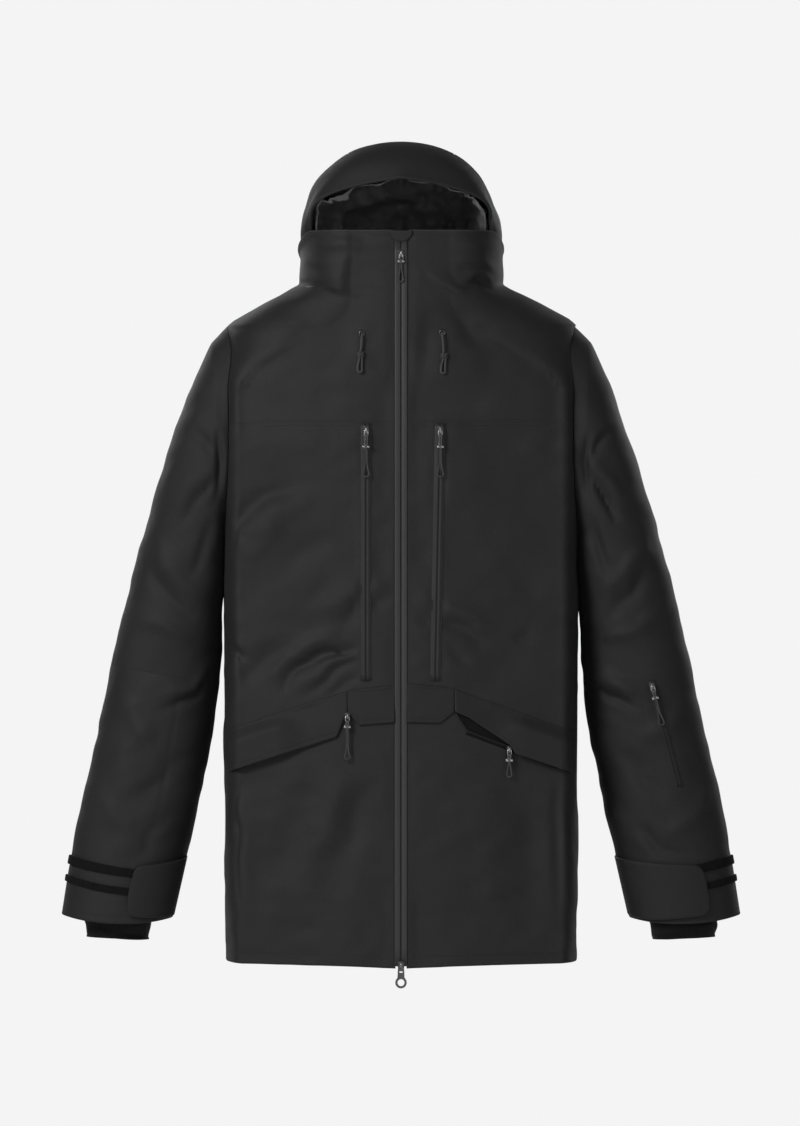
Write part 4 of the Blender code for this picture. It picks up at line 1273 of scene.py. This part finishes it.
def main_zip():
    for side, word in ((1, "left"), (-1, "right")):
        profile, plain = half_lip(side), lambda x, z: front_y(z)
        # The lips take the lighter lip cloth, painted sheen.
        obj = strip(f"main_zip_{word}_tape", [(0, 0.003), (0, 0.872)], profile, plain, "lip")
        finish_piece(obj, "jacket", f"main_zip_{word}")
    half = arc((0, 0), 0.0135, -pi, 0, 20)
    y = float(front_y(COLLAR_TOP)) - 0.0004
    garage = rounded_solid("zip_garage_cloth", half, 0, 0.0020, 0.0009, "shell", (0, y, COLLAR_TOP - 0.0007))
    finish_piece(garage, "jacket", "zip_garage")
    runner("main_zip_top", 0, 0.8540, SLIDER_HEIGHT, MAIN_SLIDER, (0.0335, 0.0100, 0.0075))
    runner("main_zip_bottom", 0, 0.0035, SLIDER_HEIGHT, MAIN_SLIDER, None)
    bevelled("main_zip_bottom_pull", "metal", 0.0004)


CHEST_ZIPS = (
    ("right", (-0.0417, 0.6520), (-0.0417, 0.3440)),
    ("left", (0.0472, 0.6520), (0.0412, 0.3440)),
)
HAND_ZIPS = (
    ("right", (-0.0628, 0.3016), (-0.1880, 0.2616), 0.011, 0.0520),
    ("left", (0.0780, 0.2806), (0.1880, 0.2389), 0.4690, 0.0330),
)
TAPE_HALF = 0.0068


def pocket_zips(depth):
    for word, top, bottom in CHEST_ZIPS:
        obj = strip(f"chest_zip_{word}_tape", [top, bottom], coated_tape(TAPE_HALF), depth, "tape")
        finish_piece(obj, "jacket", f"chest_zip_{word}")
        x = mix(top[0], bottom[0], 0.03)
        runner(f"chest_zip_{word}", x, 0.6430, SLIDER_HEIGHT, (0.0080, 0.0130), (0.0560, 0.0210, 0.0085))
    for word, start, end, rest, length in HAND_ZIPS:
        side = 1 if word == "left" else -1
        # The hand-zip tape takes the near-black pocket cloth, painted shade inside the pocket opening.
        obj = strip(f"hand_zip_{word}_tape", [start, end], hidden_tape(-side), depth, "mouth")
        finish_piece(obj, "jacket", f"hand_zip_{word}")
        x, z = mix(start[0], end[0], rest), mix(start[1], end[1], rest)
        runner(f"hand_zip_{word}", x, z, LOW_SLIDER_HEIGHT, (0.0070, 0.0105), (length, 0.0140, 0.0075))


def sleeve_zip():
    depth = caster(["forearm_left_cloth"])
    ends = [(0.2995, 0.3440), (0.3335, 0.2170)]
    tape = strip("sleeve_zip_tape", ends, coated_tape(0.0046), depth, "shell")
    finish_piece(tape, "forearm_left", "sleeve_zip")
    runner("sleeve_zip", 0.3015, 0.3365, SLIDER_HEIGHT, (0.0075, 0.0115), (0.0480, 0.0160, 0.0080),
           -radians(14))


# Pocket flaps and tabs: top and bottom edges as (x, z) points from the centre outwards, side, lift and last q.
FLAP_EDGES = {
    "flap_right": (
        [(0.0640, 0.3324), (0.0864, 0.3252), (0.2076, 0.2856), (0.2180, 0.2822)],
        [(0.0640, 0.3050), (0.0656, 0.3040), (0.0768, 0.2765), (0.2148, 0.2316), (0.2180, 0.2306)],
        -1, 0.0048, 0.41,
    ),
    "flap_left": (
        [(0.0640, 0.3345), (0.1032, 0.3204), (0.2100, 0.2832), (0.2180, 0.2805)],
        [(0.0640, 0.3070), (0.0804, 0.3000), (0.1308, 0.2652), (0.1344, 0.2568), (0.2130, 0.2304),
         (0.2180, 0.2290)],
        1, 0.0075, 0.41,
    ),
    "pocket_tab_right": (
        [(0.0072, 0.3388), (0.0144, 0.3384), (0.0600, 0.3336), (0.0634, 0.3326)],
        [(0.0072, 0.2940), (0.0492, 0.2904), (0.0634, 0.3046)], -1, 0.0030, 0.1232,
    ),
    "pocket_tab_left": (
        [(0.0072, 0.3410), (0.0132, 0.3408), (0.0492, 0.3372), (0.0634, 0.3347)],
        [(0.0072, 0.2940), (0.0468, 0.2928), (0.0634, 0.3066)], 1, 0.0030, 0.1232,
    ),
}
SEAM_LIFT = 0.0008
SLIDER_ROOM = 0.0116


def q_at(x):
    """The q of a place on the front below the yoke."""
    inner = FRONT_Q * x / FACET_START
    outer = mix(FRONT_Q, SIDE_Q, (x - FACET_START) / (FACET_END - FACET_START))
    return float(np.where(x < FACET_START, inner, outer))


def front_patch(top, bottom, side, last_q, rows):
    """A piece of the plain front between two edges: its x, heights, points and outward normals."""
    q = spaced(q_at(top[0][0]), last_q, 0.0035)[None, :]
    x = body_point(q, 0.29)[..., 0]
    z = mix(read(top, x), read(bottom, x), np.linspace(0, 1, rows)[:, None])
    return x, z, body_point(q * side, z), body_normal(np.broadcast_to(q, z.shape), z) * (side, 1, 1)


def flap(name, body):
    """Sewn along its top edge; it stands away from the pocket towards its free edge."""
    top, bottom, side, lift, last_q = FLAP_EDGES[name]
    x, z, points, up = front_patch(top, bottom, side, last_q, 24)
    height = read(top, x) - z
    beyond = smooth_step(0.11, 0.15, x)
    lift = mix(lift, SLIDER_ROOM, beyond) if body != "jacket" else lift
    lift = mix(lift, SEAM_LIFT, smooth_step(0.190, 0.206, x))
    spring = mix(SEAM_LIFT, lift, smooth_step(0.0, 1.0, height / mix(0.040, 0.020, beyond)))
    spring = spring + 0.0008 * noise(points, 0.04, 61) * height / 0.05
    points = points + up * (body_displacement(points, up) + spring)[..., None]
    obj = shell(f"{name}_cloth", points, "flap", 0.0022, centre=(0.1 * side, 0.3, 0.28), tuck=0.0007)
    finish_piece(obj, body, name)
    for word, row in (("top", 2), ("low", -4)):
        stitches(f"{name}_stitches_{word}", points[row, 2:-2], up[row, 2:-2], body)


MOUTHS = {
    "left": ([(0.0650, 0.3060), (0.0804, 0.3010), (0.1308, 0.2680)],
             [(0.0650, 0.3050), (0.0785, 0.2840), (0.1308, 0.2640)]),
    "right": ([(0.0660, 0.3040), (0.0740, 0.3060), (0.1900, 0.2680)],
              [(0.0660, 0.3010), (0.0760, 0.2880), (0.1900, 0.2500)]),
}


def pocket_mouth(side, word):
    """The pocket opening behind the zip, a near-black sheet of painted shade, with a folded welt along its lower
    edge.
    """
    top, bottom = MOUTHS[word]
    _, _, points, up = front_patch(bottom, top, side, q_at(top[-1][0]), 8)
    points = points + up * (body_displacement(points, up) + 0.0004)[..., None]
    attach(shell(f"pocket_mouth_{word}", points, "mouth", 0.0010, tuck=0.0002), "jacket")
    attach(tube(f"pocket_welt_{word}", points[0] + up[0] * 0.0002, 0.0013, "flap", 10), "jacket")


# Cuffs.
STRIP_HEIGHTS = (("upper", 0.895), ("lower", 0.929))
STRIP_WIDTH = 0.0130
TAB_START = -pi / 2 + 0.03
TAB_END = {"right": radians(-5), "left": radians(25)}


def cuffs(side, word):
    forearm = f"forearm_{word}"
    t, a = np.linspace(0, 1, 46)[:, None], np.linspace(0, tau, 240, endpoint=False)[None, :]
    points = tube_point(INNER_CUFF, side, t, a)
    centre = centre_of(points)
    up = grid_normals(points, True, centre)
    ribs = 0.00022 * np.sin(80 * a) + 0.0034 * noise(points, (0.04, 0.03, 0.012), 71)
    roll = 0.0012 * np.exp(-(((t - 0.97) / 0.03) ** 2))
    points = points + up * (ribs * smooth_step(1, 0.9, t) + roll)[..., None]
    obj = shell(f"inner_cuff_{word}_knit", points, "knit", 0.002, ring=True, centre=centre)
    finish_piece(obj, forearm, f"inner_cuff_{word}")
    turn = np.linspace(radians(-40), radians(115), 60)[None, :]
    e = np.linspace(0, 1, 5)[:, None]
    for level, height in STRIP_HEIGHTS:
        at = height + STRIP_WIDTH * e - 0.012 * np.sin(turn)
        points = sleeve_point(side, at, turn, 0.0026)
        obj = shell(f"cuff_strip_{level}_{word}_pile", points, "pile", 0.0018, centre=centre, tuck=0.0004)
        finish_piece(obj, forearm, f"cuff_strip_{level}_{word}")
    f = np.linspace(0, 1, 56)[None, :]
    turn = mix(TAB_START, TAB_END[word], f)
    rounded = np.clip(1 - np.clip((f - 0.88) / 0.12, 0, 1) ** 4, 0.002, 1) ** 0.25
    e = 0.5 + (np.linspace(0, 1, 20)[:, None] - 0.5) * rounded
    at = mix(0.880 + 0.012 * f, 0.994 - 0.022 * np.maximum(0, f - 0.5), e)
    points = sleeve_point(side, at, turn, mix(0.0012, 0.0054, smooth_step(0.0, 0.3, f)))
    obj = shell(f"cuff_tab_{word}_cloth", points, "flap", 0.0024, centre=centre, tuck=0.0008)
    finish_piece(obj, f"cuff_tab_{word}", f"cuff_tab_{word}")


# Cords.
CORD = 0.0026
CORD_LIFT = 0.0032
# x and height of the eyelet, where the cord comes out, of the knot and of the end of the loop.
DRAWCORDS = {
    "right": ((-0.0468, -0.0482, -0.0492), (0.7590, 0.7340, 0.7120)),
    "left": ((0.0492, 0.0516, 0.0504), (0.7602, 0.7326, 0.7104)),
}


def drawcord(word, depth):
    (x0, x1, x2), (z0, z1, z2) = DRAWCORDS[word]
    spread, sink = 0.0027, z2 + 0.0040
    route = [(x0, z0, 0.0), (x0, z0 - 0.0022, 0.0026), (mix(x0, x1, 0.3), z0 - 0.008, CORD_LIFT)]
    route += [(mix(x0, x1, 0.7), mix(z0, z1, 0.7), CORD_LIFT), (x1 - 0.0012, z1 + 0.001, CORD_LIFT)]
    route += [(x1 - 0.0015, z1 - 0.004, CORD_LIFT), (x2 - spread * 0.9, sink + 0.005, CORD_LIFT)]
    route += [(x, z, CORD_LIFT) for x, z in arc((x2, sink), spread, -pi * 0.9, -pi * 0.1, 5)]
    route += [(x2 + spread * 0.9, sink + 0.005, CORD_LIFT), (x1 + 0.0017, z1 - 0.004, CORD_LIFT)]
    route += [(x1 + 0.0016, z1 - 0.0005, CORD_LIFT)]
    line = smooth_route([(x, -lift, z) for x, z, lift in route], 0.0012)
    line[:, 1] += float(depth(x1, z1)) + (line[:, 2] - z1) * FRONT_LEAN
    turns = np.linspace(0, 2.6 * tau, 60)
    heights = z1 + np.linspace(0.0026, -0.0030, 60)
    wraps = stack(x1 + 0.0031 * np.cos(turns), line[20, 1] + 0.0021 * np.sin(turns), heights)
    knot = tube(f"drawcord_knot_{word}", wraps, CORD / 2 * 0.9, "cord", 8, side_hint=(0, 0, 1))
    cord = tube(f"drawcord_{word}_cord", line, CORD / 2, "cord", 10)
    finish_piece(cord, "jacket", f"drawcord_{word}", f"drawcord_loop_{word}")
    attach(knot, "jacket")
    turn = np.linspace(0, tau, 33)[:-1]
    ring = stack(x0 + 0.0030 * np.cos(turn), float(depth(x0, z0)) - 0.0006, z0 + 0.0030 * np.sin(turn))
    obj = tube(f"drawcord_eyelet_{word}_ring", np.concatenate([ring, ring[:1]]), 0.0011, "metal")
    finish_piece(obj, "jacket", f"drawcord_eyelet_{word}")


def hang_loop():
    """Webbing bent into a loop, with its flat side down at the top."""
    half, drop, thick, bend = 0.01875, 0.020, 0.00125, 0.003
    corner = [(half - bend * (1 - np.sin(k)), -bend * (1 - np.cos(k))) for k in np.linspace(pi / 2, 0, 7)]
    route = [(half, -drop), *corner]
    route = [(u, w + 0.0008) for u, w in route] + [(-u, w + 0.0008) for u, w in reversed(route)]
    line = np.array([(u, 0, w) for u, w in route]) - ORIGIN
    ahead = unit(np.gradient(line, axis=0))
    out = np.cross(ahead, (0, 1, 0))
    edge = 0.6 * thick
    loop = [(-0.0025, 0), (-0.0021, edge), (0.0021, edge), (0.0025, 0), (0.0021, -edge), (-0.0021, -edge)]
    rings = line[:, None] + [(0, v, 0) for v, _ in loop] + out[:, None] * [(w,) for _, w in loop]
    finish_piece(bar("hang_loop_webbing", rings, "webbing"), "jacket", "hang_loop")


def inner_band(name, low, high, inset, start, ripple, seed):
    z, f = spaced(low, high, 0.008)[:, None], np.linspace(0, 1, 170)[None, :]
    points = body_point(wrap_q(f, start), z, inset)
    up = grid_normals(points, False, BODY_CENTRE)
    amount = ripple * noise(points, (0.03, 0.03, 0.09), seed) - abs(ripple) * 0.8
    return shell(name, points + up * amount[..., None], "lining", 0.0010, tuck=0.0002)


def insides():
    lining = inner_band("body_lining_cloth", 0.012, 0.800, 0.0075, 0.02, 0.0022, 81)
    finish_piece(lining, "jacket", "body_lining")
    skirt = inner_band("powder_skirt_cloth", 0.130, 0.330, 0.0150, 0.05, 0.0040, 83)
    finish_piece(skirt, "jacket", "powder_skirt")
    z, f = spaced(0.0015, 0.030, 0.006)[:, None], np.linspace(0, 1, 150)[None, :]
    q = wrap_q(f, 0.016)
    points = body_point(q, hem_height(q, z), CLOTH + FACING_GAP)
    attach(shell("hem_facing", points, "shell", 0.0014, tuck=0.0003), "jacket")


for side, word in ((-1, "right"), (1, "left")):
    front_panels(side, word)
    sleeves(side, word)
    cuffs(side, word)
    flap(f"flap_{word}", f"flap_{word}")
    flap(f"pocket_tab_{word}", "jacket")
    pocket_mouth(side, word)
back_panels()
collar()
hood()
sewn = [f"front_{part}_{word}_cloth" for part in ("panel", "yoke") for word in ("right", "left")]
front = caster([*sewn, "collar_cloth"])
for word in ("right", "left"):
    drawcord(word, front)
main_zip()
pocket_zips(front)
sleeve_zip()
hang_loop()
insides()
